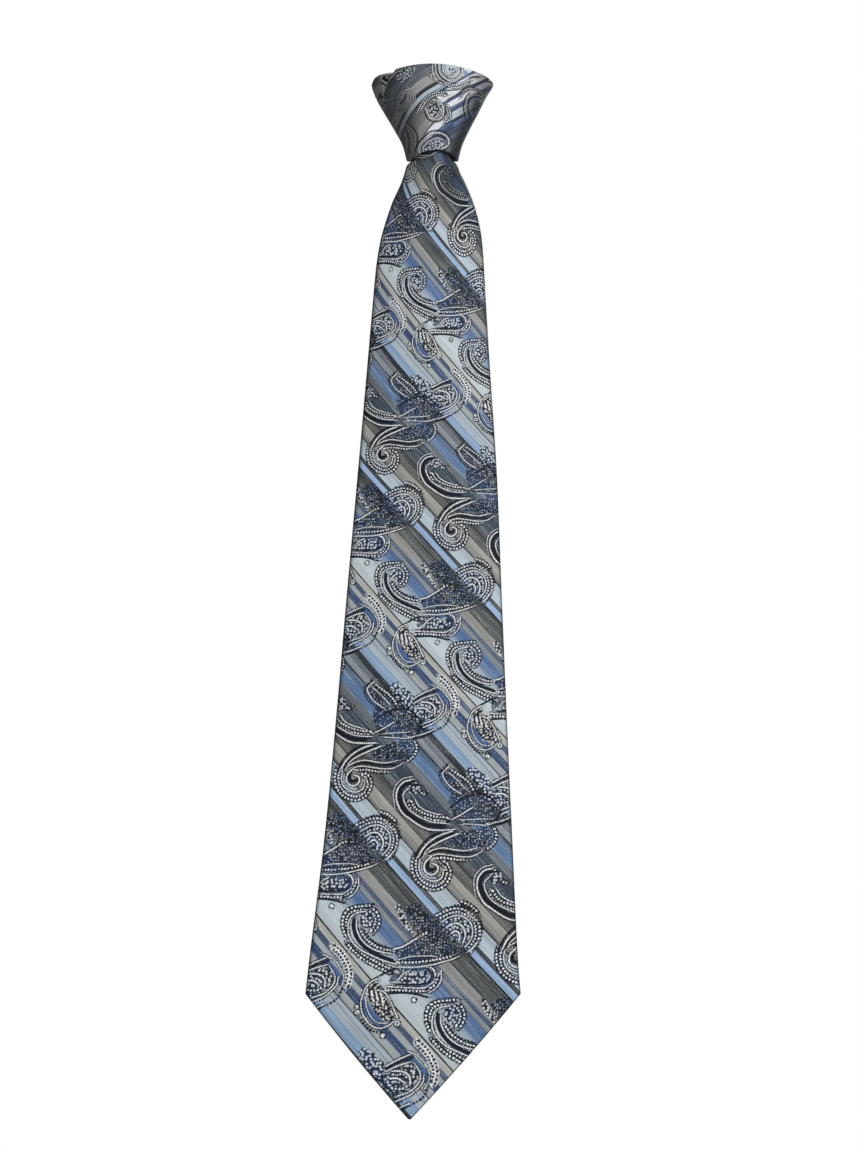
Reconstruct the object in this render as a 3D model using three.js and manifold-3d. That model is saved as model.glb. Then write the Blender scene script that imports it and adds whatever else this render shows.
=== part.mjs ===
// A clip-on necktie of figured silk, ready tied: a folded silk blade that hangs from a wound knot,
// with a sprung steel clip behind the knot that hooks over a shirt collar.
//
// Millimetres. +X is to the right seen from the front, the front faces -Y, and +Z is up.
// The origin is the middle of the collar's top edge, under the bridge of the clip.
// Tables give heights as "down", the distance below the origin.

import * as THREE from "three";
import Module from "manifold-3d";
import { mergeVertices } from "three/addons/utils/BufferGeometryUtils.js";

const CLOTH_GAP = 0.3; // clearance between cloth that lies on cloth or on the clip

// The blade's outline and body, from the neck hidden in the knot to the corners of the point.
// left and right are the edges, hang is where the edges hang, crown is how far the middle bows
// forward of them, and stack is the whole thickness of the folded silk and its wool.
const BLADE = [
  { down: 14.0, left: -5.8, right: 5.8, hang: -12.8, crown: 0.4, stack: 3.8 },
  { down: 29.0, left: -6.6, right: 6.6, hang: -12.6, crown: 1.0, stack: 4.0 },
  { down: 35.0, left: -7.2, right: 7.2, hang: -11.6, crown: 3.2, stack: 4.4 },
  { down: 39.4, left: -7.9, right: 8.2, hang: -10.5, crown: 4.6, stack: 4.6 },
  { down: 40.5, left: -10.6, right: 11.0, hang: -10.1, crown: 5.2, stack: 4.7 },
  { down: 41.8, left: -11.4, right: 11.6, hang: -9.8, crown: 5.8, stack: 4.8 },
  { down: 44.0, left: -12.0, right: 12.4, hang: -9.4, crown: 6.8, stack: 4.8 },
  { down: 47.7, left: -13.2, right: 14.3, hang: -9.2, crown: 7.6, stack: 4.8 },
  { down: 52.2, left: -15.1, right: 16.3, hang: -9.1, crown: 8.1, stack: 4.7 },
  { down: 56.6, left: -17.2, right: 18.1, hang: -9.1, crown: 8.3, stack: 4.6 },
  { down: 65.4, left: -20.3, right: 20.7, hang: -9.2, crown: 8.0, stack: 4.4 },
  { down: 74.3, left: -22.8, right: 22.2, hang: -9.4, crown: 7.4, stack: 4.2 },
  { down: 86.0, left: -24.7, right: 23.1, hang: -9.7, crown: 6.7, stack: 4.1 },
  { down: 100.8, left: -26.1, right: 23.9, hang: -10.0, crown: 5.9, stack: 4.0 },
  { down: 127.3, left: -28.4, right: 25.5, hang: -10.5, crown: 4.8, stack: 3.8 },
  { down: 180.3, left: -33.1, right: 28.9, hang: -11.1, crown: 3.5, stack: 3.7 },
  { down: 233.4, left: -37.9, right: 31.0, hang: -11.5, crown: 2.6, stack: 3.6 },
  { down: 286.4, left: -42.5, right: 33.2, hang: -11.8, crown: 2.0, stack: 3.5 },
  { down: 339.5, left: -47.7, right: 35.6, hang: -12.0, crown: 1.5, stack: 3.4 },
  { down: 392.5, left: -54.3, right: 38.1, hang: -12.1, crown: 1.2, stack: 3.4 },
  { down: 407.5, left: -56.0, right: 39.3, hang: -12.1, crown: 1.1, stack: 3.4 },
];
const TIP = { down: 463.0, x: -9.9, halfWidth: 1.7, crown: 0.3, stack: 2.8 };
const POINT_BULGE = 0.9; // how far the two lower edges of the point bow outwards
const BLADE_WALL = 1.2; // silk and wool together, one layer
const SEAM_HALF_GAP = 0.3; // where the two back flaps meet
const SEAM_END_DOWN = 338; // below this the flaps part and show the inside of the front
const HEM = 13; // width of the turned hem along the point

// The knot's outer form, level by level: left and right are half widths, front and back are the
// foremost and rearmost y, and waist is the y of the widest line.
const KNOT = [
  { down: -4.5, left: 27.0, right: 27.5, front: -25.2, waist: -12.2, back: -3.2 },
  { down: -1.0, left: 27.1, right: 27.6, front: -26.7, waist: -11.6, back: -2.9 },
  { down: 4.4, left: 26.9, right: 27.3, front: -27.8, waist: -11.0, back: -2.6 },
  { down: 11.5, left: 24.7, right: 23.9, front: -27.3, waist: -10.6, back: -2.5 },
  { down: 18.6, left: 20.8, right: 20.3, front: -25.9, waist: -10.4, back: -2.5 },
  { down: 25.6, left: 16.6, right: 16.6, front: -23.9, waist: -10.3, back: -2.6 },
  { down: 32.7, left: 12.9, right: 13.4, front: -21.7, waist: -10.4, back: -2.9 },
  { down: 39.6, left: 11.1, right: 11.6, front: -20.2, waist: -10.6, back: -3.4 },
];
const SIDE_POWER = 0.86; // squareness of the knot seen from above, at its sides
const FRONT_POWER = 0.86; // and over its front
const BACK_POWER = 0.55; // and over its flatter back
const KNOT_COLUMNS = 64; // steps once round the knot

// The front band, wound round the whole knot.
const BAND = {
  wall: 3.0,
  topRadius: 50, // arc of the top edge seen from the front
  topHeight: 3.5, // its highest point above the origin
  backTop: -5.5, // height of the top edge behind, under the clip's bridge
  leftCut: { x: -16.6, z: 0.2, slope: 1.55 }, // the edge falls away here and bares the under wrap
  leftBackTop: -11.6,
  mouthTop: -34.7, // the arched lower edge: its middle,
  mouthSide: -39.4, // its sides
  mouthBack: -38.4, // and its back
  mouthMiddle: 1.5,
};

// Folds in the front of the band, each along a line seen from the front. push is how far the cloth
// stands forward on the line, and lift is the height of a pleat's upper layer.
const FOLDS = [
  { fold: "ear_pleat", x1: 26.0, z1: -3.2, x2: 7.5, z2: -12.0, push: 0, lift: 1.1, width: 5.0 },
  { fold: "right_valley", x1: 22.5, z1: -10.0, x2: 4.0, z2: -31.0, push: -1.1, lift: 0, width: 2.6 },
  { fold: "middle_ridge", x1: 12.0, z1: -5.0, x2: -3.0, z2: -31.0, push: 0.6, lift: 0, width: 4.5 },
  { fold: "left_valley", x1: -19.0, z1: -9.0, x2: -7.5, z2: -33.0, push: -0.7, lift: 0, width: 2.6 },
  { fold: "mouth_pleat", x1: -4.5, z1: -23.0, x2: -4.0, z2: -36.0, push: -0.5, lift: 0, width: 1.6 },
];

// The under wrap: the layer inside the band, which shows at the top left corner and from above.
const WRAP = {
  wall: 2.2,
  bottom: -28,
  domeHeight: 6.5,
  ridge: [
    { across: -1.0, z: -4.6 },
    { across: -0.95, z: -2.4 },
    { across: -0.85, z: -0.9 },
    { across: -0.62, z: 0.1 },
    { across: 0.0, z: 1.4 },
    { across: 0.6, z: -1.4 },
    { across: 1.0, z: -8.0 },
  ],
  earRise: 0.8, // at the bare corner it swells out this far above the band's edge,
  earSwell: 2.4, // and over this height,
  earInset: -0.1, // until it stands as far out as the band does
};

// The clip: a plate tucked inside the back of the band, a bridge over its edge, and two prongs.
const CLIP = {
  sheet: 0.8,
  plateFace: -6.0, // y of the plate's face towards the band
  plateTopHalf: 10,
  plateBottomHalf: 5,
  plateBottom: -24,
  prongFace: 2.5, // y of the prongs' face towards the collar
  prongBottom: -25,
  prongWidth: 5,
  prongFlare: 1.6,
  bend: 1.6, // inside radius of the two bends
};

const lerp = THREE.MathUtils.lerp;
const clamp = THREE.MathUtils.clamp;
const smooth = (t) => THREE.MathUtils.smoothstep(t, 0, 1);
const signedPower = (value, power) => Math.sign(value) * Math.abs(value) ** power;

// One column of a table at a given place, on a smooth curve through its rows that never overshoots.
function sample(table, key, column, at) {
  const last = table.length - 1;
  if (at <= table[0][key]) return table[0][column];
  if (at >= table[last][key]) return table[last][column];
  const i = table.findIndex((row) => row[key] > at) - 1;
  const secant = (j) =>
    (table[j + 1][column] - table[j][column]) / (table[j + 1][key] - table[j][key]);
  const slope = (j) => {
    if (j === 0) return secant(0);
    if (j === last) return secant(last - 1);
    const [before, after] = [secant(j - 1), secant(j)];
    return before * after <= 0 ? 0 : (2 * before * after) / (before + after);
  };
  const span = table[i + 1][key] - table[i][key];
  const t = (at - table[i][key]) / span;
  return (
    (1 + 2 * t) * (1 - t) ** 2 * table[i][column] +
    t * (1 - t) ** 2 * span * slope(i) +
    t * t * (3 - 2 * t) * table[i + 1][column] +
    t * t * (t - 1) * span * slope(i + 1)
  );
}

const range = (count) => Array.from({ length: count }, (_, i) => i);

// A closed surface through a grid of points whose rows are loops. A blade or a shell is open from
// row to row and is closed by its two caps; a ring is closed that way as well.
function gridGeometry(rows, { ring = false, capTriangles = () => [] } = {}) {
  const count = rows[0].length;
  const index = [];
  const rowSteps = ring ? rows.length : rows.length - 1;
  for (let j = 0; j < rowSteps; j++) {
    const [lower, upper] = [j * count, ((j + 1) % rows.length) * count];
    for (let i = 0; i < count; i++) {
      const next = (i + 1) % count;
      index.push(lower + i, lower + next, upper + next);
      index.push(lower + i, upper + next, upper + i);
    }
  }
  const lastRow = (rows.length - 1) * count;
  for (const [a, b, c] of capTriangles(count)) {
    index.push(a, c, b);
    index.push(lastRow + a, lastRow + b, lastRow + c);
  }
  const geometry = new THREE.BufferGeometry();
  geometry.setAttribute(
    "position",
    new THREE.Float32BufferAttribute(rows.flat().flatMap((p) => p.toArray()), 3),
  );
  geometry.setIndex(index);
  return facingOut(geometry);
}

// The same closed surface, with its triangles turned if they face inwards.
function facingOut(geometry) {
  const [a, b, c] = [new THREE.Vector3(), new THREE.Vector3(), new THREE.Vector3()];
  const position = geometry.getAttribute("position");
  const index = geometry.index.array;
  let volume = 0;
  for (let i = 0; i < index.length; i += 3) {
    a.fromBufferAttribute(position, index[i]);
    b.fromBufferAttribute(position, index[i + 1]);
    c.fromBufferAttribute(position, index[i + 2]);
    volume += a.dot(b.cross(c));
  }
  if (volume < 0) index.reverse();
  return geometry;
}

// The blade's section at one height, as a loop: out along the cloth's outer face from the left
// flap's edge round to the right flap's edge, and back along its inner face.
const FLAP_STEPS = 3;
const FOLD_STEPS = 4;
const FRONT_STEPS = 10;

function clothPath(section, inset) {
  const { left, right, hang, crown, stack, gapLeft, gapRight } = section;
  const fold = stack / 2;
  const radius = fold - inset;
  const middle = (left + right) / 2;
  const half = (right - left) / 2;
  const points = [];
  const place = (x, offset) => {
    const bow = crown * (1 - ((x - middle) / half) ** 2);
    points.push(new THREE.Vector3(x, hang - bow + offset, -section.down));
  };
  for (const i of range(FLAP_STEPS)) {
    place(lerp(middle - gapLeft, left + fold, i / FLAP_STEPS), radius);
  }
  for (const i of range(FOLD_STEPS)) {
    const turn = (Math.PI * i) / FOLD_STEPS;
    place(left + fold - radius * Math.sin(turn), radius * Math.cos(turn));
  }
  for (const i of range(FRONT_STEPS)) {
    place(lerp(left + fold, right - fold, i / FRONT_STEPS), -radius);
  }
  for (const i of range(FOLD_STEPS)) {
    const turn = (Math.PI * i) / FOLD_STEPS;
    place(right - fold + radius * Math.sin(turn), -radius * Math.cos(turn));
  }
  for (const i of range(FLAP_STEPS + 1)) {
    place(lerp(right - fold, middle + gapRight, i / FLAP_STEPS), radius);
  }
  return points;
}

// All that the tables say about the blade at one height above the point.
function bladeSection(down) {
  const of = (column) => sample(BLADE, "down", column, down);
  const section = { down };
  for (const column of ["left", "right", "hang", "crown", "stack"]) {
    section[column] = of(column);
  }
  const half = (section.right - section.left) / 2;
  const cornersDown = BLADE.at(-1).down;
  const open = clamp((down - SEAM_END_DOWN) / (cornersDown - SEAM_END_DOWN), 0, 1);
  section.gapLeft = lerp(SEAM_HALF_GAP, half - HEM, open ** 1.15);
  section.gapRight = section.gapLeft;
  return section;
}

// The same within the point, where t runs from the corners, 0, to the tip, 1.
function pointSection(t) {
  const corners = bladeSection(BLADE.at(-1).down);
  const bulge = POINT_BULGE * 4 * t * (1 - t);
  const section = {
    down: lerp(corners.down, TIP.down, t),
    left: lerp(corners.left, TIP.x - TIP.halfWidth, t) - bulge,
    right: lerp(corners.right, TIP.x + TIP.halfWidth, t) + bulge,
    hang: corners.hang,
    crown: lerp(corners.crown, TIP.crown, t),
    stack: lerp(corners.stack, TIP.stack, t),
  };
  const half = (section.right - section.left) / 2;
  section.gapLeft = Math.max(Math.min(SEAM_HALF_GAP, half / 4), half - HEM);
  section.gapRight = section.gapLeft;
  return section;
}

function bladeGeometry() {
  const partway = [60.5, 113, 153, 207, 260, 313, 328, SEAM_END_DOWN, 352, 366, 379];
  const heights = [...BLADE.map((row) => row.down), ...partway].sort((a, b) => a - b);
  const pointSteps = [0.04, 0.12, 0.24, 0.38, 0.52, 0.64, 0.74, 0.84, 0.93, 0.98, 1];
  const sections = [...heights.map(bladeSection), ...pointSteps.map(pointSection)];
  const rows = sections.map((section) => [
    ...clothPath(section, 0),
    ...clothPath(section, BLADE_WALL).reverse(),
  ]);
  const capTriangles = (count) =>
    range(count / 2 - 1).flatMap((i) => {
      const [outer, inner] = [i, count - 1 - i];
      return [
        [outer, outer + 1, inner - 1],
        [outer, inner - 1, inner],
      ];
    });
  return gridGeometry(rows, { capTriangles });
}

// A point of the knot's outer form at a turn round it and a height, moved inwards by inset.
// turn 0 is the right ear, a quarter turn is the middle of the front, half is the left ear.
function knotPoint(turn, z, inset) {
  const of = (column) => sample(KNOT, "down", column, -z);
  const [cosine, sine] = [Math.cos(2 * Math.PI * turn), Math.sin(2 * Math.PI * turn)];
  const halfWidth = (cosine > 0 ? of("right") : of("left")) - inset;
  const isFront = sine >= 0;
  const depth = (isFront ? of("waist") - of("front") : of("back") - of("waist")) - inset;
  const reach = depth * Math.abs(sine) ** (isFront ? FRONT_POWER : BACK_POWER);
  const y = of("waist") + (isFront ? -reach : reach);
  return new THREE.Vector3(halfWidth * signedPower(cosine, SIDE_POWER), y, z);
}

// How far the folds push the front of the band forward at a place seen from the front.
function foldPush(x, z) {
  let push = 0;
  for (const { x1, z1, x2, z2, push: depth, lift, width } of FOLDS) {
    const length = Math.hypot(x2 - x1, z2 - z1);
    const along = ((x - x1) * (x2 - x1) + (z - z1) * (z2 - z1)) / length;
    const above = ((z - z1) * (x2 - x1) - (x - x1) * (z2 - z1)) / length;
    const side = Math.sign(x2 - x1) * above;
    const ends = smooth(along / 4 + 0.5) * smooth((length - along) / 6 + 0.5);
    push += depth * ends * Math.exp(-((above / width) ** 2));
    push += lift * ends * smooth(side / 1.4 + 0.5) * Math.exp(-Math.max(side, 0) / width);
  }
  return push;
}

// Heights of the band's top and bottom edges at a turn round the knot.
function bandTop(turn) {
  const { x } = knotPoint(turn, 0, 0);
  const across = x / 27;
  const drop = BAND.topRadius - Math.sqrt(BAND.topRadius ** 2 - x * x);
  const cut = BAND.leftCut.z + BAND.leftCut.slope * (x - BAND.leftCut.x);
  const side = across < 0 ? BAND.leftBackTop : BAND.topHeight - 7.9;
  const behind = lerp(BAND.backTop, side, smooth(Math.abs(across)));
  const before = Math.max(Math.min(BAND.topHeight - drop, cut), BAND.leftBackTop);
  return Math.sin(2 * Math.PI * turn) >= 0 ? before : behind;
}

function bandBottom(turn) {
  const [cosine, sine] = [Math.cos(2 * Math.PI * turn), Math.sin(2 * Math.PI * turn)];
  const middle = sine >= 0 ? BAND.mouthTop : BAND.mouthBack;
  const lean = (sine >= 0 ? BAND.mouthMiddle / 11 : 0) * Math.abs(sine);
  return lerp(middle, BAND.mouthSide, Math.min(1, Math.abs(cosine - lean)) ** 1.8);
}

function bandGeometry() {
  const levels = 12;
  const edge = BAND.wall / 2;
  const rim = [0, 0.3, 1]; // rows across each rounded edge, in edge radii
  const sectionOf = (turn) => {
    const [bottom, top] = [bandBottom(turn), bandTop(turn)];
    const heights = [
      ...rim.map((r) => bottom + r * edge),
      ...range(levels).map((i) => lerp(bottom + edge, top - edge, (i + 1) / (levels + 1))),
      ...rim.map((r) => top - r * edge).reverse(),
    ];
    const faceInset = (z) => {
      const fromEdge = Math.min(z - bottom, top - z) / edge;
      return fromEdge >= 1 ? 0 : edge * (1 - Math.sqrt(1 - (1 - fromEdge) ** 2));
    };
    const outer = heights.map((z) => {
      const p = knotPoint(turn, z, faceInset(z));
      const front = Math.max(0, Math.sin(2 * Math.PI * turn));
      p.y -= foldPush(p.x, z) * smooth(front * 2) * (1 - faceInset(z) / edge);
      return p;
    });
    const inner = heights.slice(1, -1).map((z) => knotPoint(turn, z, BAND.wall - faceInset(z)));
    return [...outer, ...inner.reverse()];
  };
  const rows = range(KNOT_COLUMNS).map((i) => sectionOf(i / KNOT_COLUMNS));
  return gridGeometry(rows, { ring: true });
}

// The under wrap's outer form, or its hollow when grown is the wall's thickness: straight rows that
// follow the band's top edge, and above them a dome that closes in to the ridge.
function wrapForm(grown, bottom) {
  const straightRows = 5;
  const domeTurns = [0.2, 0.4, 0.6, 0.8, 0.92];
  const place = (turn, row, dome) => {
    const across = signedPower(Math.cos(2 * Math.PI * turn), SIDE_POWER);
    const shoulder = sample(WRAP.ridge, "across", "z", across) - grown - WRAP.domeHeight;
    const swellFrom = bandTop(turn) + WRAP.earRise;
    const bend = Math.min(swellFrom, shoulder - 2);
    const level = row < 3 ? lerp(bottom, bend, row / 2) : lerp(bend, shoulder, (row - 2) / 2);
    const z = level + WRAP.domeHeight * Math.sin((dome * Math.PI) / 2);
    const bare = smooth((z - swellFrom) / WRAP.earSwell) * smooth((-0.58 - across) / 0.15);
    const behind = Math.max(0, -Math.sin(2 * Math.PI * turn)) * (CLIP.sheet + 2 * CLOTH_GAP);
    const inset = lerp(BAND.wall + CLOTH_GAP + behind, WRAP.earInset, bare);
    const p = knotPoint(turn, z, inset + grown);
    const waist = sample(KNOT, "down", "waist", -z);
    p.y = lerp(p.y, waist, 1 - Math.cos((dome * Math.PI) / 2));
    p.x *= lerp(1, 0.96, dome ** 4);
    return p;
  };
  const ring = (row, dome) => range(KNOT_COLUMNS).map((i) => place(i / KNOT_COLUMNS, row, dome));
  const rows = range(straightRows).map((row) => ring(row, 0));
  rows.push(...domeTurns.map((dome) => ring(straightRows - 1, dome)));
  const capTriangles = (count) => range(count - 2).map((i) => capTriangle(i, count));
  return gridGeometry(rows, { capTriangles });
}

// A loop whose halves mirror each other is capped by a zigzag from one half to the other.
function capTriangle(i, count) {
  const step = Math.ceil((i + 1) / 2);
  const back = (k) => (count - k) % count;
  return i % 2 === 0
    ? [back(step - 1), step, back(step)]
    : [back(step), step, step + 1];
}

// Prisms from an outline in the xz plane, between two values of y, and in the yz plane.
function prismAlongY(shape, nearY, farY) {
  const geometry = new THREE.ExtrudeGeometry(shape, {
    depth: farY - nearY,
    bevelEnabled: false,
    curveSegments: 6,
  });
  geometry.rotateX(Math.PI / 2);
  return geometry.translate(0, farY, 0);
}

function prismAlongX(shape, halfWidth) {
  const geometry = new THREE.ExtrudeGeometry(shape, {
    depth: 2 * halfWidth,
    bevelEnabled: false,
    curveSegments: 6,
  });
  const turned = new THREE.Matrix4().makeBasis(
    new THREE.Vector3(0, 1, 0),
    new THREE.Vector3(0, 0, 1),
    new THREE.Vector3(1, 0, 0),
  );
  return geometry.applyMatrix4(turned).translate(-halfWidth, 0, 0);
}

// The side view of the clip: up the plate, over the bridge and down the prongs to their flare.
function clipProfile() {
  const { sheet, plateFace, plateBottom, prongFace, prongBottom, prongFlare, bend } = CLIP;
  const outerBend = bend + sheet;
  const flareTop = prongBottom + 4;
  const shape = new THREE.Shape();
  shape.moveTo(plateFace, plateBottom);
  shape.lineTo(plateFace, -bend);
  shape.absarc(plateFace + bend, -bend, bend, Math.PI, Math.PI / 2, true);
  shape.lineTo(prongFace - bend, 0);
  shape.absarc(prongFace - bend, -bend, bend, Math.PI / 2, 0, true);
  shape.lineTo(prongFace, flareTop);
  shape.lineTo(prongFace + prongFlare, prongBottom);
  shape.lineTo(prongFace + prongFlare + sheet, prongBottom);
  shape.lineTo(prongFace + sheet, flareTop);
  shape.absarc(prongFace - bend, -bend, outerBend, 0, Math.PI / 2, false);
  shape.absarc(plateFace + bend, -bend, outerBend, Math.PI / 2, Math.PI, false);
  shape.lineTo(plateFace - sheet, plateBottom);
  shape.closePath();
  return shape;
}

// What is cut from the bent strip: the slot between the prongs, and the plate's tapered sides.
function prongSlot() {
  const half = CLIP.plateTopHalf - CLIP.prongWidth;
  const shape = new THREE.Shape();
  shape.moveTo(-half, CLIP.prongBottom - 1);
  shape.lineTo(half, CLIP.prongBottom - 1);
  shape.lineTo(half, -half);
  shape.absarc(0, -half, half, 0, Math.PI, false);
  shape.closePath();
  return shape;
}

function plateSide(sign) {
  const shape = new THREE.Shape();
  shape.moveTo(sign * (CLIP.plateTopHalf + 1), -6);
  shape.lineTo(sign * CLIP.plateTopHalf, -6);
  shape.lineTo(sign * CLIP.plateBottomHalf, CLIP.plateBottom);
  shape.lineTo(sign * CLIP.plateBottomHalf, CLIP.plateBottom - 1);
  shape.lineTo(sign * (CLIP.plateTopHalf + 1), CLIP.plateBottom - 1);
  shape.closePath();
  return shape;
}

const wasm = await Module();
wasm.setup();

// A closed geometry as a solid that can be cut, and the solid back as a geometry.
function solidOf(geometry) {
  const bare = geometry.index ? geometry.toNonIndexed() : geometry.clone();
  bare.deleteAttribute("normal");
  bare.deleteAttribute("uv");
  const merged = mergeVertices(bare, 1e-4);
  return new wasm.Manifold(
    new wasm.Mesh({
      numProp: 3,
      vertProperties: merged.attributes.position.array,
      triVerts: new Uint32Array(merged.index.array),
    }),
  );
}

function geometryOf(solid) {
  const { numProp, numVert, vertProperties, triVerts } = solid.getMesh();
  const positions = new Float32Array(3 * numVert);
  for (const i of range(numVert)) {
    positions.set(vertProperties.subarray(i * numProp, i * numProp + 3), 3 * i);
  }
  const geometry = new THREE.BufferGeometry();
  geometry.setAttribute("position", new THREE.BufferAttribute(positions, 3));
  geometry.setIndex(new THREE.BufferAttribute(triVerts, 1));
  return geometry;
}

function wrapGeometry() {
  const outside = solidOf(wrapForm(0, WRAP.bottom));
  const hollow = solidOf(wrapForm(WRAP.wall, WRAP.bottom - 2));
  return geometryOf(outside.subtract(hollow));
}

function clipGeometry() {
  const plateNear = CLIP.plateFace - CLIP.sheet - 1;
  const plateFar = CLIP.plateFace + 1;
  const prongNear = CLIP.prongFace - 1;
  const prongFar = CLIP.prongFace + CLIP.prongFlare + CLIP.sheet + 1;
  let solid = solidOf(prismAlongX(clipProfile(), CLIP.plateTopHalf));
  solid = solid.subtract(solidOf(prismAlongY(prongSlot(), prongNear, prongFar)));
  for (const sign of [-1, 1]) {
    solid = solid.subtract(solidOf(prismAlongY(plateSide(sign), plateNear, plateFar)));
  }
  return geometryOf(solid);
}

const cloth = (color) => new THREE.MeshStandardMaterial({ color, roughness: 0.45, metalness: 0 });
const steel = new THREE.MeshStandardMaterial({ color: 0xb9bcc0, roughness: 0.25, metalness: 1 });

function named(name, geometry, material) {
  const mesh = new THREE.Mesh(geometry, material);
  mesh.name = name;
  return mesh;
}

const necktie = new THREE.Group();
necktie.add(named("blade", bladeGeometry(), cloth(0x6f7f93)));
necktie.add(named("knot_front_band", bandGeometry(), cloth(0x76808c)));
necktie.add(named("knot_under_wrap", wrapGeometry(), cloth(0x5d6672)));
necktie.add(named("collar_clip", clipGeometry(), steel));

export default necktie;
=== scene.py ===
"""A clip-on necktie of figured silk, ready tied: a folded silk blade that hangs from a wound knot,
with a sprung steel clip behind the knot.

The forms below are written in millimetres, in the same frame as the solids, and become metres
when a mesh is made. +X is to the right seen from the front, the front faces -Y, and +Z is up.
The cloth's figure is charted in squares of the weaver's paper, 0.442 mm of silk each.
"""

import math

import bmesh
import bpy
import numpy as np
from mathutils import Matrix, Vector, kdtree


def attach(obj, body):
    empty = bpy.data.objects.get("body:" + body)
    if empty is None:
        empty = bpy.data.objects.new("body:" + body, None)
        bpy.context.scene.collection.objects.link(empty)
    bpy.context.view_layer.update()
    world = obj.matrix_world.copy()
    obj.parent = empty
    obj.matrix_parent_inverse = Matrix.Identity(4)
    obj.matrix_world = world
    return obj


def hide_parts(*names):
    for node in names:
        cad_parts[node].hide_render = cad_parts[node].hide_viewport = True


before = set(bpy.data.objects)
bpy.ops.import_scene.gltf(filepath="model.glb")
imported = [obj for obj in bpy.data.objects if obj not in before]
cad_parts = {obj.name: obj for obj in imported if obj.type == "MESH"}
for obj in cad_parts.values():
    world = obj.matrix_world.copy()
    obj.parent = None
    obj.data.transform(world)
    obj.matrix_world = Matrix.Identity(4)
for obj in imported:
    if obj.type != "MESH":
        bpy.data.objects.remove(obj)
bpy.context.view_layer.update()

MM = 0.001
SQUARE = 0.442  # mm of silk to one square of the chart

# The view of the photograph: level with the middle of the necktie, through a long lens.
PICTURE_HEIGHT = 508.3  # mm of the necktie's plane that the picture takes in
PICTURE_CENTRE = (-0.4, -222.3)  # x and z, in mm
NECKTIE_PLANE = -14.0  # y, in mm
LENS = 260.0
SENSOR = 36.0

# The forms, with the same driving dimensions as the solids.
CLOTH_GAP = 0.3
BLADE = [
    {"down": 14.0, "left": -5.8, "right": 5.8, "hang": -12.8, "crown": 0.4, "stack": 3.8},
    {"down": 29.0, "left": -6.6, "right": 6.6, "hang": -12.6, "crown": 1.0, "stack": 4.0},
    {"down": 35.0, "left": -8.4, "right": 8.7, "hang": -11.4, "crown": 4.4, "stack": 4.4},
    {"down": 39.4, "left": -9.1, "right": 9.6, "hang": -10.4, "crown": 5.0, "stack": 4.6},
    {"down": 40.5, "left": -10.6, "right": 11.0, "hang": -10.1, "crown": 5.2, "stack": 4.7},
    {"down": 41.8, "left": -11.4, "right": 11.6, "hang": -9.8, "crown": 5.8, "stack": 4.8},
    {"down": 44.0, "left": -12.0, "right": 12.4, "hang": -9.4, "crown": 6.8, "stack": 4.8},
    {"down": 47.7, "left": -13.2, "right": 14.3, "hang": -9.2, "crown": 7.6, "stack": 4.8},
    {"down": 52.2, "left": -15.1, "right": 16.3, "hang": -9.1, "crown": 8.1, "stack": 4.7},
    {"down": 56.6, "left": -17.2, "right": 18.1, "hang": -9.1, "crown": 8.3, "stack": 4.6},
    {"down": 65.4, "left": -20.3, "right": 20.7, "hang": -9.2, "crown": 8.0, "stack": 4.4},
    {"down": 74.3, "left": -22.8, "right": 22.2, "hang": -9.4, "crown": 7.4, "stack": 4.2},
    {"down": 86.0, "left": -24.7, "right": 23.1, "hang": -9.7, "crown": 6.7, "stack": 4.1},
    {"down": 100.8, "left": -26.1, "right": 23.9, "hang": -10.0, "crown": 5.9, "stack": 4.0},
    {"down": 127.3, "left": -28.4, "right": 25.5, "hang": -10.5, "crown": 4.8, "stack": 3.8},
    {"down": 180.3, "left": -33.1, "right": 28.9, "hang": -11.1, "crown": 3.5, "stack": 3.7},
    {"down": 233.4, "left": -37.9, "right": 31.0, "hang": -11.5, "crown": 2.6, "stack": 3.6},
    {"down": 286.4, "left": -42.5, "right": 33.2, "hang": -11.8, "crown": 2.0, "stack": 3.5},
    {"down": 339.5, "left": -47.7, "right": 35.6, "hang": -12.0, "crown": 1.5, "stack": 3.4},
    {"down": 392.5, "left": -54.3, "right": 38.1, "hang": -12.1, "crown": 1.2, "stack": 3.4},
    {"down": 407.5, "left": -56.0, "right": 39.3, "hang": -12.1, "crown": 1.1, "stack": 3.4},
]
TIP = {"down": 463.0, "x": -9.9, "half_width": 0.6, "crown": 0.3, "stack": 2.8, "end_stack": 1.0}
TIP_THINS = 12  # how late the point thins to its end, as a power
POINT_BULGE = 0.9
BLADE_WALL = 1.2
INNER_FOLD = 0.86  # the most of a fold's radius that the wall may take
SEAM_HALF_GAP = 0.3
SEAM_END_DOWN = 338
SEAM_OPENING = 1.15  # how slowly the flaps part at first, as a power
HEM = 13

KNOT = [
    {"down": -4.5, "left": 27.0, "right": 27.7, "front": -25.2, "waist": -12.2, "back": -3.2},
    {"down": -1.0, "left": 27.1, "right": 27.8, "front": -26.7, "waist": -11.6, "back": -2.9},
    {"down": 4.4, "left": 26.9, "right": 27.6, "front": -27.8, "waist": -11.0, "back": -2.6},
    {"down": 11.5, "left": 24.7, "right": 23.9, "front": -27.3, "waist": -10.6, "back": -2.5},
    {"down": 18.6, "left": 20.8, "right": 20.3, "front": -25.9, "waist": -10.4, "back": -2.5},
    {"down": 25.6, "left": 16.6, "right": 16.6, "front": -23.9, "waist": -10.3, "back": -2.6},
    {"down": 32.7, "left": 12.9, "right": 13.4, "front": -21.7, "waist": -10.4, "back": -2.9},
    {"down": 39.6, "left": 11.1, "right": 11.6, "front": -20.2, "waist": -10.6, "back": -3.4},
]
SIDE_POWER = 0.86
FRONT_POWER = 0.86
BACK_POWER = 0.55

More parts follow.
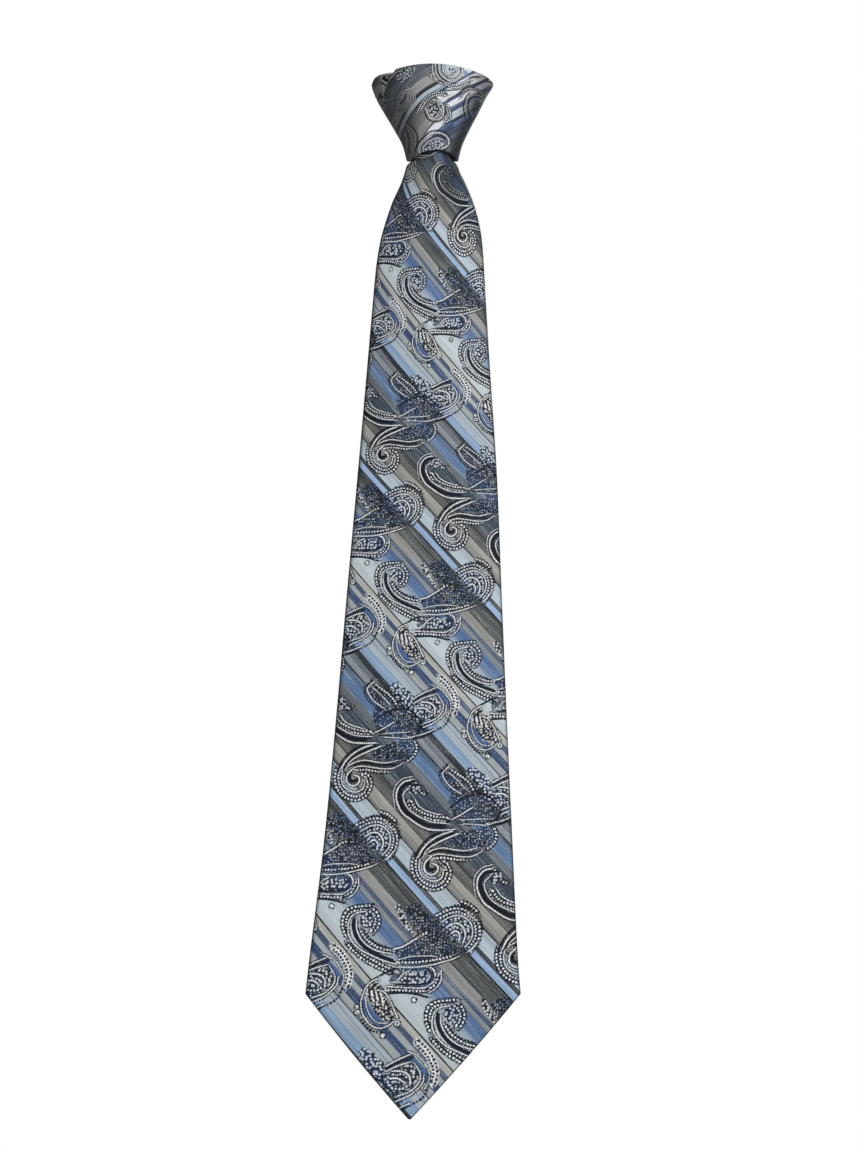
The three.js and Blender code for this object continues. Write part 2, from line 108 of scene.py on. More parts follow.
BAND_WALL = 3.0
MOUTH_WALL = 1.6
MOUTH_THIN_FROM = 28.0  # mm down, from where the wall thins towards the mouth
MOUTH_THIN_OVER = 7.0
BAND_RIM = 0.6
BAND_TOP_RADIUS = 58
BAND_TOP_HEIGHT = 3.2
BAND_BACK_TOP = -5.5
BAND_RIGHT_BACK_TOP = -4.7
BAND_LEFT_BACK_TOP = -11.6
BAND_CUT = {"x": -16.6, "z": 0.2, "slope": 1.55}
EAR_SPREAD = 27.0  # mm from the knot's middle to its ears
MOUTH_TOP = -34.7
MOUTH_SIDE = -39.4
MOUTH_BACK = -38.4
MOUTH_MIDDLE = 1.5
MOUTH_HALF_WIDTH = 11.0
MOUTH_ARCH = 1.8  # how flat the top of the mouth's arch is, as a power

FOLDS = [
    {"fold": "ear_pleat", "start": (26, -3.2), "end": (7.5, -12), "push": 0, "lift": 1.1, "width": 5.0},
    {"fold": "right_valley", "start": (22.5, -10), "end": (4, -31), "push": -1.1, "lift": 0, "width": 2.6},
    {"fold": "middle_ridge", "start": (12, -5), "end": (-3, -31), "push": 0.6, "lift": 0, "width": 4.5},
    {"fold": "left_valley", "start": (-19, -9), "end": (-7.5, -33), "push": -0.7, "lift": 0, "width": 2.6},
    {"fold": "mouth_pleat", "start": (-4.5, -23), "end": (-4, -36), "push": -0.5, "lift": 0, "width": 1.6},
]
FOLD_START = 4.0  # mm that a fold takes to rise at its start, to die out at its end, and to step up
FOLD_END = 6.0
FOLD_STEP = 1.4
FOLDS_FROM = 0.5  # how far round from the ear towards the front the folds reach full depth, as a sine

WRAP_WALL = 2.2
WRAP_BOTTOM = -28
WRAP_DOME = 6.5
WRAP_RIDGE = [
    {"across": -1.0, "z": -4.6},
    {"across": -0.95, "z": -2.4},
    {"across": -0.85, "z": -0.9},
    {"across": -0.62, "z": 0.1},
    {"across": 0.0, "z": 1.4},
    {"across": 0.6, "z": -1.4},
    {"across": 1.0, "z": -8.0},
]
WRAP_SHOULDER = 2.0  # mm from the bend to the shoulder, at least
WRAP_DENSER = 1.6  # how much denser the rows are above the bend, as a power
WRAP_CLOSING = 0.96
# The ears, where a place round the knot is a cosine: 1 at the right ear and -1 at the left one.
EAR_ROUND = 2.6  # mm that the right ear's corner is rounded over
EAR_ROUND_FROM = 0.86
EAR_FLUSH = 0.15  # how much the left ear's rim is rounded, beside the rest of the rim
EAR_FLUSH_FROM = 0.75
EAR_FLUSH_OVER = 0.2
EAR_BARE_FROM = 0.58  # the under wrap is bare from here on, and swells out over the band's edge
EAR_BARE_OVER = 0.15
EAR_RISE = 0.06
EAR_SWELL = 0.2
EAR_INSET = -0.1
CLIP_SHEET = 0.8


def smooth(t):
    t = np.clip(t, 0, 1)
    return t * t * (3 - 2 * t)


def lerp(a, b, t):
    return a + (b - a) * t


def signed_power(value, power):
    return np.sign(value) * np.abs(value) ** power


def sample(table, key, column, at):
    """One column of a table at the given places, on a smooth curve that never overshoots."""
    places = np.array([row[key] for row in table], float)
    values = np.array([row[column] for row in table], float)
    secant = np.diff(values) / np.diff(places)
    before, after = secant[:-1], secant[1:]
    same_way = before * after > 0
    total = np.where(same_way, before + after, 1)
    inner = np.where(same_way, 2 * before * after / total, 0)
    slope = np.concatenate([secant[:1], inner, secant[-1:]])
    at = np.clip(at, places[0], places[-1])
    i = np.clip(np.searchsorted(places, at, side="right") - 1, 0, len(places) - 2)
    span = places[i + 1] - places[i]
    t = (at - places[i]) / span
    return (
        (1 + 2 * t) * (1 - t) ** 2 * values[i]
        + t * (1 - t) ** 2 * span * slope[i]
        + t * t * (3 - 2 * t) * values[i + 1]
        + t * t * (t - 1) * span * slope[i + 1]
    )


# The blade

BLADE_COLUMNS = ("left", "right", "hang", "crown", "stack")
FLAP_STEPS = 24
FOLD_STEPS = 6
FRONT_STEPS = 104
EDGE_STEPS = 3
INNER_FLAP_STEPS = 4
INNER_FOLD_STEPS = 3
INNER_FRONT_STEPS = 12
ROW_HEIGHT = 1.05  # mm from row to row
BLADE_MIDDLE_COLUMN = FLAP_STEPS + FOLD_STEPS + FRONT_STEPS // 2
FOLD_SHADE = 1.3  # mm beside a folded edge that painted shade darkens, where the cloth turns away from the light
# Painted shade under the band's mouth, and on the neck's right side, fading out downwards.
MOUTH_SHADE = 0.6
MOUTH_SHADE_OVER = 12.0  # mm below the mouth
NECK_SHADE = 0.88  # painted shade on the right side of the neck, where the satin turns from the light
NECK_SHADE_TURN = 6.0  # mm right of the blade's middle
NECK_SHADE_FROM = 13.0  # mm below the mouth
NECK_SHADE_OVER = 18.0


def blade_sections():
    """What the tables say about the blade, row by row, from the neck to the tip."""
    corners_down = BLADE[-1]["down"]
    rows = round((corners_down - BLADE[0]["down"]) / ROW_HEIGHT)
    down = np.linspace(BLADE[0]["down"], corners_down, rows + 1)
    body = {column: sample(BLADE, "down", column, down) for column in BLADE_COLUMNS}
    half = (body["right"] - body["left"]) / 2
    opening = np.clip((down - SEAM_END_DOWN) / (corners_down - SEAM_END_DOWN), 0, 1)
    body["gap"] = lerp(SEAM_HALF_GAP, half - HEM, opening**SEAM_OPENING)
    body["down"] = down

    t = np.linspace(0, 1, round((TIP["down"] - corners_down) / ROW_HEIGHT) + 1)[1:]
    bulge = POINT_BULGE * 4 * t * (1 - t)
    corner = {column: body[column][-1] for column in BLADE_COLUMNS}
    point = {
        "down": lerp(corners_down, TIP["down"], t),
        "left": lerp(corner["left"], TIP["x"] - TIP["half_width"], t) - bulge,
        "right": lerp(corner["right"], TIP["x"] + TIP["half_width"], t) + bulge,
        "hang": np.full_like(t, corner["hang"]),
        "crown": lerp(corner["crown"], TIP["crown"], t),
        "stack": lerp(lerp(corner["stack"], TIP["stack"], t), TIP["end_stack"], t**TIP_THINS),
    }
    half = (point["right"] - point["left"]) / 2
    point["gap"] = np.maximum(np.minimum(SEAM_HALF_GAP, half / 4), half - HEM)
    return {key: np.concatenate([body[key], point[key]])[:, None] for key in point}


def cloth_path(section, inset, flap_steps, fold_steps, front_steps):
    """The cloth's path round the blade at each row, from the left flap's edge round the front to
    the right flap's edge: x and y, a row of points for each row of the blade."""
    fold = section["stack"] / 2
    radius = fold - np.minimum(inset, INNER_FOLD * fold)
    left, right = section["left"], section["right"]
    middle, half = (left + right) / 2, (right - left) / 2
    edge_inset = BLADE_WALL / 2
    flap = np.arange(flap_steps) / flap_steps
    turn = np.pi * np.arange(fold_steps) / fold_steps
    front = np.arange(front_steps) / front_steps
    flap_end = np.arange(flap_steps + 1) / flap_steps
    x = [
        lerp(middle - section["gap"] - edge_inset, left + fold, flap),
        left + fold - radius * np.sin(turn),
        lerp(left + fold, right - fold, front),
        right - fold + radius * np.sin(turn),
        lerp(right - fold, middle + section["gap"] + edge_inset, flap_end),
    ]
    offset = [
        radius * np.ones_like(flap),
        radius * np.cos(turn),
        -radius * np.ones_like(front),
        -radius * np.cos(turn),
        radius * np.ones_like(flap_end),
    ]
    x, offset = np.concatenate(x, axis=1), np.concatenate(offset, axis=1)
    bow = section["crown"] * (1 - ((x - middle) / half) ** 2)
    return x, section["hang"] - bow + offset


def flap_edge(outer, inner, side):
    """The rounded edge of a flap, from its outer face to its inner one."""
    turn = np.pi * np.arange(1, EDGE_STEPS + 1) / (EDGE_STEPS + 1)
    (x1, y1), (x2, y2) = outer, inner
    x = lerp(x1, x2, 0.5) - side * BLADE_WALL / 2 * np.sin(turn)
    y = lerp(y1, y2, (1 - np.cos(turn)) / 2)
    return x, y


def blade_grid():
    """The blade's points, a closed loop for each row, how far along the cloth each point lies, its
    painted shade, and how many points of a loop belong to the outer face."""
    section = blade_sections()
    outer_x, outer_y = cloth_path(section, 0, FLAP_STEPS, FOLD_STEPS, FRONT_STEPS)
    inner_x, inner_y = cloth_path(
        section, BLADE_WALL, INNER_FLAP_STEPS, INNER_FOLD_STEPS, INNER_FRONT_STEPS
    )
    right_edge = flap_edge(
        (outer_x[:, -1:], outer_y[:, -1:]), (inner_x[:, -1:], inner_y[:, -1:]), 1
    )
    left_edge = flap_edge((inner_x[:, :1], inner_y[:, :1]), (outer_x[:, :1], outer_y[:, :1]), -1)
    x = np.concatenate([outer_x, right_edge[0], inner_x[:, ::-1], left_edge[0]], axis=1)
    y = np.concatenate([outer_y, right_edge[1], inner_y[:, ::-1], left_edge[1]], axis=1)
    z = -section["down"] * np.ones_like(x)
    points = np.stack([x, y, z], axis=2)

    outer_count = outer_x.shape[1]
    steps = np.hypot(np.diff(outer_x, axis=1), np.diff(outer_y, axis=1))
    arc = np.concatenate([np.zeros((len(x), 1)), np.cumsum(steps, axis=1)], axis=1)
    middle = (section["left"] + section["right"]) / 2
    along = x.copy()
    along[:, :outer_count] = middle + arc - arc[:, BLADE_MIDDLE_COLUMN][:, None]
    along[:, outer_count : outer_count + EDGE_STEPS] = along[:, outer_count - 1 : outer_count]
    along[:, -EDGE_STEPS:] = along[:, :1]
    # Painted shade: beside the folded edges, below the band's mouth and on the right of the neck.
    from_fold = np.minimum(x - section["left"], section["right"] - x)
    below_mouth = section["down"] + MOUTH_TOP
    at_mouth = MOUTH_SHADE * (1 - smooth(below_mouth / MOUTH_SHADE_OVER))
    shade = np.maximum(1 - smooth(from_fold / FOLD_SHADE), at_mouth)
    at_neck = NECK_SHADE * (1 - smooth((below_mouth - NECK_SHADE_FROM) / NECK_SHADE_OVER))
    shade = np.maximum(shade, at_neck * smooth((x - middle) / NECK_SHADE_TURN))
    return points, along, shade, outer_count


def grid_faces(rows, columns, ring=False):
    """Quads through a grid of points whose rows are closed loops."""
    j = np.arange(rows if ring else rows - 1)[:, None]
    i = np.arange(columns)[None, :]
    upper = (j + 1) % rows
    following = (i + 1) % columns
    corners = [
        j * columns + i,
        j * columns + following,
        upper * columns + following,
        upper * columns + i,
    ]
    return np.stack(np.broadcast_arrays(*corners), axis=2).reshape(-1, 4)


def blade_caps(rows, columns, outer_count):
    """Faces that close the cloth's wall at the neck and at the tip."""
    inner_count = columns - outer_count - 2 * EDGE_STEPS
    caps = []
    for first, flip in ((0, True), ((rows - 1) * columns, False)):
        outer = [first + i for i in range(outer_count)]
        inner = [first + columns - EDGE_STEPS - 1 - i for i in range(inner_count)]
        left_edge = [first + columns - EDGE_STEPS + i for i in range(EDGE_STEPS)]
        right_edge = [first + outer_count + EDGE_STEPS - 1 - i for i in range(EDGE_STEPS)]
        i = j = 0
        while i < outer_count - 1 or j < inner_count - 1:
            step_outer = (i + 1) / outer_count <= (j + 1) / inner_count
            if (step_outer and i < outer_count - 1) or j == inner_count - 1:
                face = [outer[i], outer[i + 1], inner[j]]
                i += 1
            else:
                face = [outer[i], inner[j + 1], inner[j]]
                j += 1
            caps.append(face[::-1] if flip else face)
        for face in ([outer[0], inner[0], *left_edge], [inner[-1], outer[-1], *right_edge[::-1]]):
            caps.append(face[::-1] if flip else face)
    return caps


# The knot


def knot_point(turn, z, inset):
    """A point of the knot's outer form at a turn round it and a height, moved inwards by inset.
    turn 0 is the right ear, a quarter turn is the middle of the front, half is the left ear."""
    cosine, sine = np.cos(2 * np.pi * turn), np.sin(2 * np.pi * turn)
    column = {key: sample(KNOT, "down", key, -z) for key in KNOT[0] if key != "down"}
    half_width = np.where(cosine > 0, column["right"], column["left"]) - inset
    is_front = sine >= 0
    front_depth = column["waist"] - column["front"]
    back_depth = column["back"] - column["waist"]
    depth = np.where(is_front, front_depth, back_depth) - inset
    reach = depth * np.abs(sine) ** np.where(is_front, FRONT_POWER, BACK_POWER)
    y = column["waist"] + np.where(is_front, -reach, reach)
    return half_width * signed_power(cosine, SIDE_POWER), y


def fold_push(x, z):
    """How far the folds push the front of the band forward at a place seen from the front."""
    push = np.zeros(np.broadcast(x, z).shape)
    for row in FOLDS:
        (x1, z1), (x2, z2) = row["start"], row["end"]
        run, rise = x2 - x1, z2 - z1
        length = math.hypot(run, rise)
        along = ((x - x1) * run + (z - z1) * rise) / length
        above = ((z - z1) * run - (x - x1) * rise) / length
        side = math.copysign(1, run) * above
        ends = smooth(along / FOLD_START + 0.5) * smooth((length - along) / FOLD_END + 0.5)
        push += row["push"] * ends * np.exp(-((above / row["width"]) ** 2))
        step = smooth(side / FOLD_STEP + 0.5) * np.exp(-np.maximum(side, 0) / row["width"])
        push += row["lift"] * ends * step
    return push


def band_top(turn):
    """Height of the band's top edge at a turn round the knot."""
    x, _ = knot_point(turn, np.zeros_like(turn), 0)
    drop = BAND_TOP_RADIUS - np.sqrt(BAND_TOP_RADIUS**2 - x * x)
    cut = BAND_CUT["z"] + BAND_CUT["slope"] * (x - BAND_CUT["x"])
    side = np.where(x < 0, BAND_LEFT_BACK_TOP, BAND_RIGHT_BACK_TOP)
    behind = lerp(BAND_BACK_TOP, side, smooth(np.abs(x / EAR_SPREAD)))
    before = np.maximum(np.minimum(BAND_TOP_HEIGHT - drop, cut), BAND_LEFT_BACK_TOP)
    return np.where(np.sin(2 * np.pi * turn) >= 0, before, behind)


def band_bottom(turn):
    """Height of the band's lower edge: the arched mouth in front, and nearly level behind."""
    cosine, sine = np.cos(2 * np.pi * turn), np.sin(2 * np.pi * turn)
    middle = np.where(sine >= 0, MOUTH_TOP, MOUTH_BACK)
    lean = np.where(sine >= 0, MOUTH_MIDDLE / MOUTH_HALF_WIDTH, 0) * np.abs(sine)
    return lerp(middle, MOUTH_SIDE, np.minimum(1, np.abs(cosine - lean)) ** MOUTH_ARCH)


BAND_COLUMNS = 288
BAND_LEVELS = 84
BAND_INNER_LEVELS = 12
RIM_STEPS = 5


def band_grid():
    """The band's points: a closed section for each turn round the knot, up its outer face and
    down its inner one."""
    turn = (np.arange(BAND_COLUMNS) / BAND_COLUMNS)[:, None]
    bottom, top = band_bottom(turn), band_top(turn)
    side = np.cos(2 * np.pi * turn)
    top_rim = lerp(BAND_RIM, EAR_ROUND, smooth((side - EAR_ROUND_FROM) / (1 - EAR_ROUND_FROM)))
    flush = lerp(1, EAR_FLUSH, smooth((-side - EAR_FLUSH_FROM) / EAR_FLUSH_OVER))
    rim = 1 - np.cos(np.linspace(0, np.pi / 2, RIM_STEPS + 1))[None, :]
    rise = np.linspace(0, 1, BAND_LEVELS + 2)[None, 1:-1]
    inner_rise = np.linspace(0, 1, BAND_INNER_LEVELS + 2)[None, 1:-1]
    low, high = bottom + rim * BAND_RIM, (top - rim * top_rim)[:, ::-1]
    wall_bottom, wall_top = bottom + BAND_RIM, top - top_rim

    def wall(z):
        return lerp(BAND_WALL, MOUTH_WALL, smooth((-z - MOUTH_THIN_FROM) / MOUTH_THIN_OVER))

    def face_inset(z, top_share=1):
        from_bottom = np.clip((z - bottom) / BAND_RIM, 0, 1)
        from_top = np.clip((top - z) / top_rim, 0, 1)
        inset_below = 1 - np.sqrt(1 - (1 - from_bottom) ** 2)
        inset_above = top_share * (1 - np.sqrt(1 - (1 - from_top) ** 2))
        return wall(z) / 2 * np.maximum(inset_below, inset_above)

    heights = np.concatenate([low, lerp(wall_bottom, wall_top, rise), high], axis=1)
    inset = face_inset(heights, flush)
    x, y = knot_point(turn, heights, inset)
    front = smooth(np.sin(2 * np.pi * turn) / FOLDS_FROM)
    y = y - fold_push(x, heights) * front * (1 - 2 * inset / wall(heights))

    inner = np.concatenate(
        [low[:, 1:], lerp(wall_bottom, wall_top, inner_rise), high[:, :-1]], axis=1
    )[:, ::-1]
    inner_x, inner_y = knot_point(turn, inner, wall(inner) - face_inset(inner))
    outer, inner = np.stack([x, y, heights], axis=2), np.stack([inner_x, inner_y, inner], axis=2)
    return np.concatenate([outer, inner], axis=1)


# Painted shade on the band towards each side, where it turns away from the light: its depth at
# the top and lower down, how many mm down it deepens from and over, and at what share of the half
# width it starts and over how much.
SIDE_SHADES = [
    {"side": -1, "top": 0.58, "low": 0.86, "from": 4, "over": 14, "start": 0.06, "turn": 0.62},
    {"side": 1, "top": 0.88, "low": 0.98, "from": 8, "over": 18, "start": 0.48, "turn": 0.4},
]


def side_shade(z):
    rows = len(z)
    across = signed_power(np.cos(2 * np.pi * np.arange(rows) / rows), SIDE_POWER)[:, None]
    shade = np.zeros_like(z)
    for row in SIDE_SHADES:
        depth = lerp(row["top"], row["low"], smooth((-z - row["from"]) / row["over"]))
        shade += depth * smooth((row["side"] * across - row["start"]) / row["turn"])
    return shade


WRAP_COLUMNS = 192
WRAP_HALF_ROWS = 20  # rows below the bend, and again from there to the shoulder
WRAP_DOME_TURNS = (0.1, 0.2, 0.3, 0.4, 0.5, 0.6, 0.7, 0.78, 0.85, 0.91, 0.96)
# Painted shade over all of the under wrap, which lies under the band.
WRAP_SHADE = 0.55


def wrap_rows(grown):
    """The under wrap's outer form, or its hollow when grown is the wall's thickness: straight
    rows up to the band's edge and the shoulder, then a dome that closes in to the ridge."""
    turn = np.arange(WRAP_COLUMNS) / WRAP_COLUMNS
    across = signed_power(np.cos(2 * np.pi * turn), SIDE_POWER)
    shoulder = sample(WRAP_RIDGE, "across", "z", across) - grown - WRAP_DOME
    swell_from = band_top(turn) + EAR_RISE
    bend = np.minimum(swell_from, shoulder - WRAP_SHOULDER)
    behind = np.maximum(0, -np.sin(2 * np.pi * turn)) * (CLIP_SHEET + 2 * CLOTH_GAP)
    rows = []
    rise = np.arange(WRAP_HALF_ROWS) / WRAP_HALF_ROWS
    levels = [(lerp(WRAP_BOTTOM, bend, t), 0) for t in rise]
    levels += [(lerp(bend, shoulder, t**WRAP_DENSER), 0) for t in rise]
    levels += [(shoulder, dome) for dome in (0, *WRAP_DOME_TURNS)]
    for level, dome in levels:
        z = level + WRAP_DOME * math.sin(dome * math.pi / 2)
        bare = smooth((z - swell_from) / EAR_SWELL)
        bare = bare * smooth((-across - EAR_BARE_FROM) / EAR_BARE_OVER)
        inset = lerp(BAND_WALL + CLOTH_GAP + behind, EAR_INSET, bare)
        x, y = knot_point(turn, z, inset + grown)
        y = lerp(y, sample(KNOT, "down", "waist", -z), 1 - math.cos(dome * math.pi / 2))
        x = x * lerp(1, WRAP_CLOSING, dome**4)
        rows.append(np.stack([x, y, z], axis=1))
    return rows


def ridge_caps(first, columns):
    """A zigzag of triangles that closes the last loop of a dome, whose halves mirror each other."""
    caps = []
    for i in range(columns - 2):
        step = (i + 2) // 2
        back = [first + (columns - k) % columns for k in (step - 1, step)]
        ahead = [first + step, first + step + 1]
        caps.append([back[0], ahead[0], back[1]] if i % 2 == 0 else [back[1], ahead[0], ahead[1]])
    return caps


# The chart of the figured silk

FIGURE_STEP_ACROSS = (75.5, 79.5)
FIGURE_STEP_DOWN = (-5.0, 322.0)
LATTICE = np.array([FIGURE_STEP_ACROSS, FIGURE_STEP_DOWN]).T
STRIPE_NORMAL = (0.7254, -0.6884)
STRIPE_START = -30.0
STRIPE_REPEAT = 225.3
RAMP_SPLIT = 116.5  # a colour ramp holds 32 stops, so the stripes take two
TWILL_RUN = (0.62, 0.78)
TWILL_PITCH = 0.8  # squares
GRAIN = 0.8  # grains to a square
STREAK_DETAIL = 2.0
LATTICE_REACH = (3, 2)  # repeats to each side, along both steps, that can reach one cell
CELL_MARGIN = 2.5  # how much wider than REACH a cell's margin is, as the lattice is slanting
THREAD_RISE = 0.12  # mm that the pale threads stand proud
CUT_NARROWING = 0.001086  # per mm: the silk's repeat is drawn together towards the knot
CUT_MIDDLE = (43.3, -233.4)  # x and z where the chart lies at its true size
SUNK_FROM = 4.6  # the levels of the dark stripes that the figure sinks into, in squares
SUNK_TO = 14.0

# How far the gathers at the knot and the folds at the point pull the silk from its charted place,
# in squares: the figure across and down, the stripes' level, and that level's lean for each mm
# to the right of the blade's middle.
PULL = [
    {"down": 40.0, "across": 6.5, "along": 13.0, "level": 5.0, "lean": 1.1},
    {"down": 54.0, "across": 5.0, "along": 9.0, "level": 4.0, "lean": 0.8},
    {"down": 72.0, "across": 2.5, "along": 5.0, "level": 2.0, "lean": 0.35},
    {"down": 92.0, "across": 3.2, "along": -2.0, "level": 2.8, "lean": 0.1},
    {"down": 112.0, "across": 3.5, "along": -3.0, "level": 5.2, "lean": 0.06},
    {"down": 132.0, "across": 3.5, "along": -2.9, "level": 6.2, "lean": 0.07},
    {"down": 152.0, "across": 2.5, "along": -2.0, "level": 6.0, "lean": 0.08},
    {"down": 171.0, "across": 0.6, "along": -0.5, "level": 4.0, "lean": 0.06},
    {"down": 191.0, "across": 0.0, "along": 0.0, "level": 0.8, "lean": 0.0},
    {"down": 211.0, "across": 0.0, "along": 0.0, "level": 0.0, "lean": 0.0},
    {"down": 350.0, "across": 0.0, "along": 0.0, "level": 0.0, "lean": 0.0},
    {"down": 412.0, "across": 0.0, "along": 0.0, "level": 1.3, "lean": -0.03},
    {"down": 450.0, "across": 0.0, "along": 0.0, "level": 1.9, "lean": -0.02},
]
LEAN_REACH = 60.0  # mm from the blade's middle, beyond which the level leans no further

YARN = {
    "black": "#14161a",
    "ink": "#191f2a",
    "deep_navy": "#22314d",
    "charcoal": "#2b3136",
    "soft_charcoal": "#3b3f42",
    "dark_taupe": "#3e4243",
    "warm_grey": "#505454",
    "taupe": "#595c59",
    "drab": "#6c6f6b",
    "stone": "#858681",
    "tan": "#898a87",
    "light_tan": "#93948d",
    "beige": "#a6a7a1",
    "cool_beige": "#999fa1",
    "steel_grey": "#7f868c",
    "grey_taupe": "#656c74",
    "light_taupe": "#828a8f",
    "slate_taupe": "#626970",
    "ash": "#4f575d",
    "slate": "#42526a",
    "dark_navy": "#38424f",
    "slate_grey": "#3c4856",
    "navy": "#34496a",
    "dusk_blue": "#526680",
    "blue": "#4f6992",
    "mid_blue": "#5b7598",
    "haze_blue": "#7889a4",
    "light_blue": "#8099b6",
    "bright_blue": "#90a9c8",
    "mist": "#8f9dad",
    "pale_blue": "#9ba9b6",
    "ice_blue": "#a9b8c3",
    "pale_grey": "#a0abb2",
    "silver": "#b0babf",
    "pale": "#b8c2c8",
    "white_rose": "#ced0d3",
    "dark_grey": "#55585b",
}

# Stripes across one repeat, from the bright blue one on towards the lower left. Each starts at
# "at" squares and runs to the next.
STRIPES = [
    {"at": 0.0, "yarn": "bright_blue"},
    {"at": 5.3, "yarn": "black"},
    {"at": 6.6, "yarn": "soft_charcoal"},
    {"at": 8.4, "yarn": "dark_taupe"},
    {"at": 13.0, "yarn": "warm_grey"},
    {"at": 20.6, "yarn": "charcoal"},
    {"at": 21.8, "yarn": "tan"},
    {"at": 30.2, "yarn": "slate"},
    {"at": 34.0, "yarn": "steel_grey"},
    {"at": 37.2, "yarn": "grey_taupe"},
    {"at": 38.4, "yarn": "blue"},
    {"at": 45.6, "yarn": "mid_blue"},
    {"at": 48.6, "yarn": "haze_blue"},
    {"at": 50.8, "yarn": "mist"},
    {"at": 53.6, "yarn": "pale_grey"},
    {"at": 57.6, "yarn": "silver"},
    {"at": 62.0, "yarn": "pale"},
    {"at": 70.6, "yarn": "silver"},
    {"at": 77.0, "yarn": "black"},
    {"at": 78.5, "yarn": "beige"},
    {"at": 83.6, "yarn": "slate"},
    {"at": 88.2, "yarn": "cool_beige"},
    {"at": 92.6, "yarn": "navy"},
    {"at": 99.5, "yarn": "cool_beige"},
    {"at": 105.1, "yarn": "dark_grey"},
    {"at": 106.1, "yarn": "pale_blue"},
    {"at": 109.8, "yarn": "dark_grey"},
    {"at": 110.5, "yarn": "pale_grey"},
    {"at": 116.5, "yarn": "light_blue"},
    {"at": 124.8, "yarn": "charcoal"},
    {"at": 130.2, "yarn": "grey_taupe"},
    {"at": 135.4, "yarn": "light_taupe"},
    {"at": 140.5, "yarn": "charcoal"},
    {"at": 142.4, "yarn": "dusk_blue"},
    {"at": 147.0, "yarn": "mid_blue"},
    {"at": 155.5, "yarn": "slate_taupe"},
    {"at": 162.0, "yarn": "charcoal"},
    {"at": 162.8, "yarn": "dark_navy"},
    {"at": 174.5, "yarn": "slate_grey"},
    {"at": 178.0, "yarn": "ash"},
    {"at": 183.0, "yarn": "soft_charcoal"},
    {"at": 188.0, "yarn": "taupe"},
    {"at": 194.6, "yarn": "charcoal"},
    {"at": 195.3, "yarn": "light_tan"},
    {"at": 201.0, "yarn": "stone"},
    {"at": 204.5, "yarn": "drab"},
    {"at": 206.9, "yarn": "black"},
    {"at": 207.9, "yarn": "pale_grey"},
    {"at": 213.0, "yarn": "ice_blue"},
    {"at": 220.4, "yarn": "pale"},
    {"at": 221.2, "yarn": "soft_charcoal"},
    {"at": 224.9, "yarn": "bright_blue"},
]

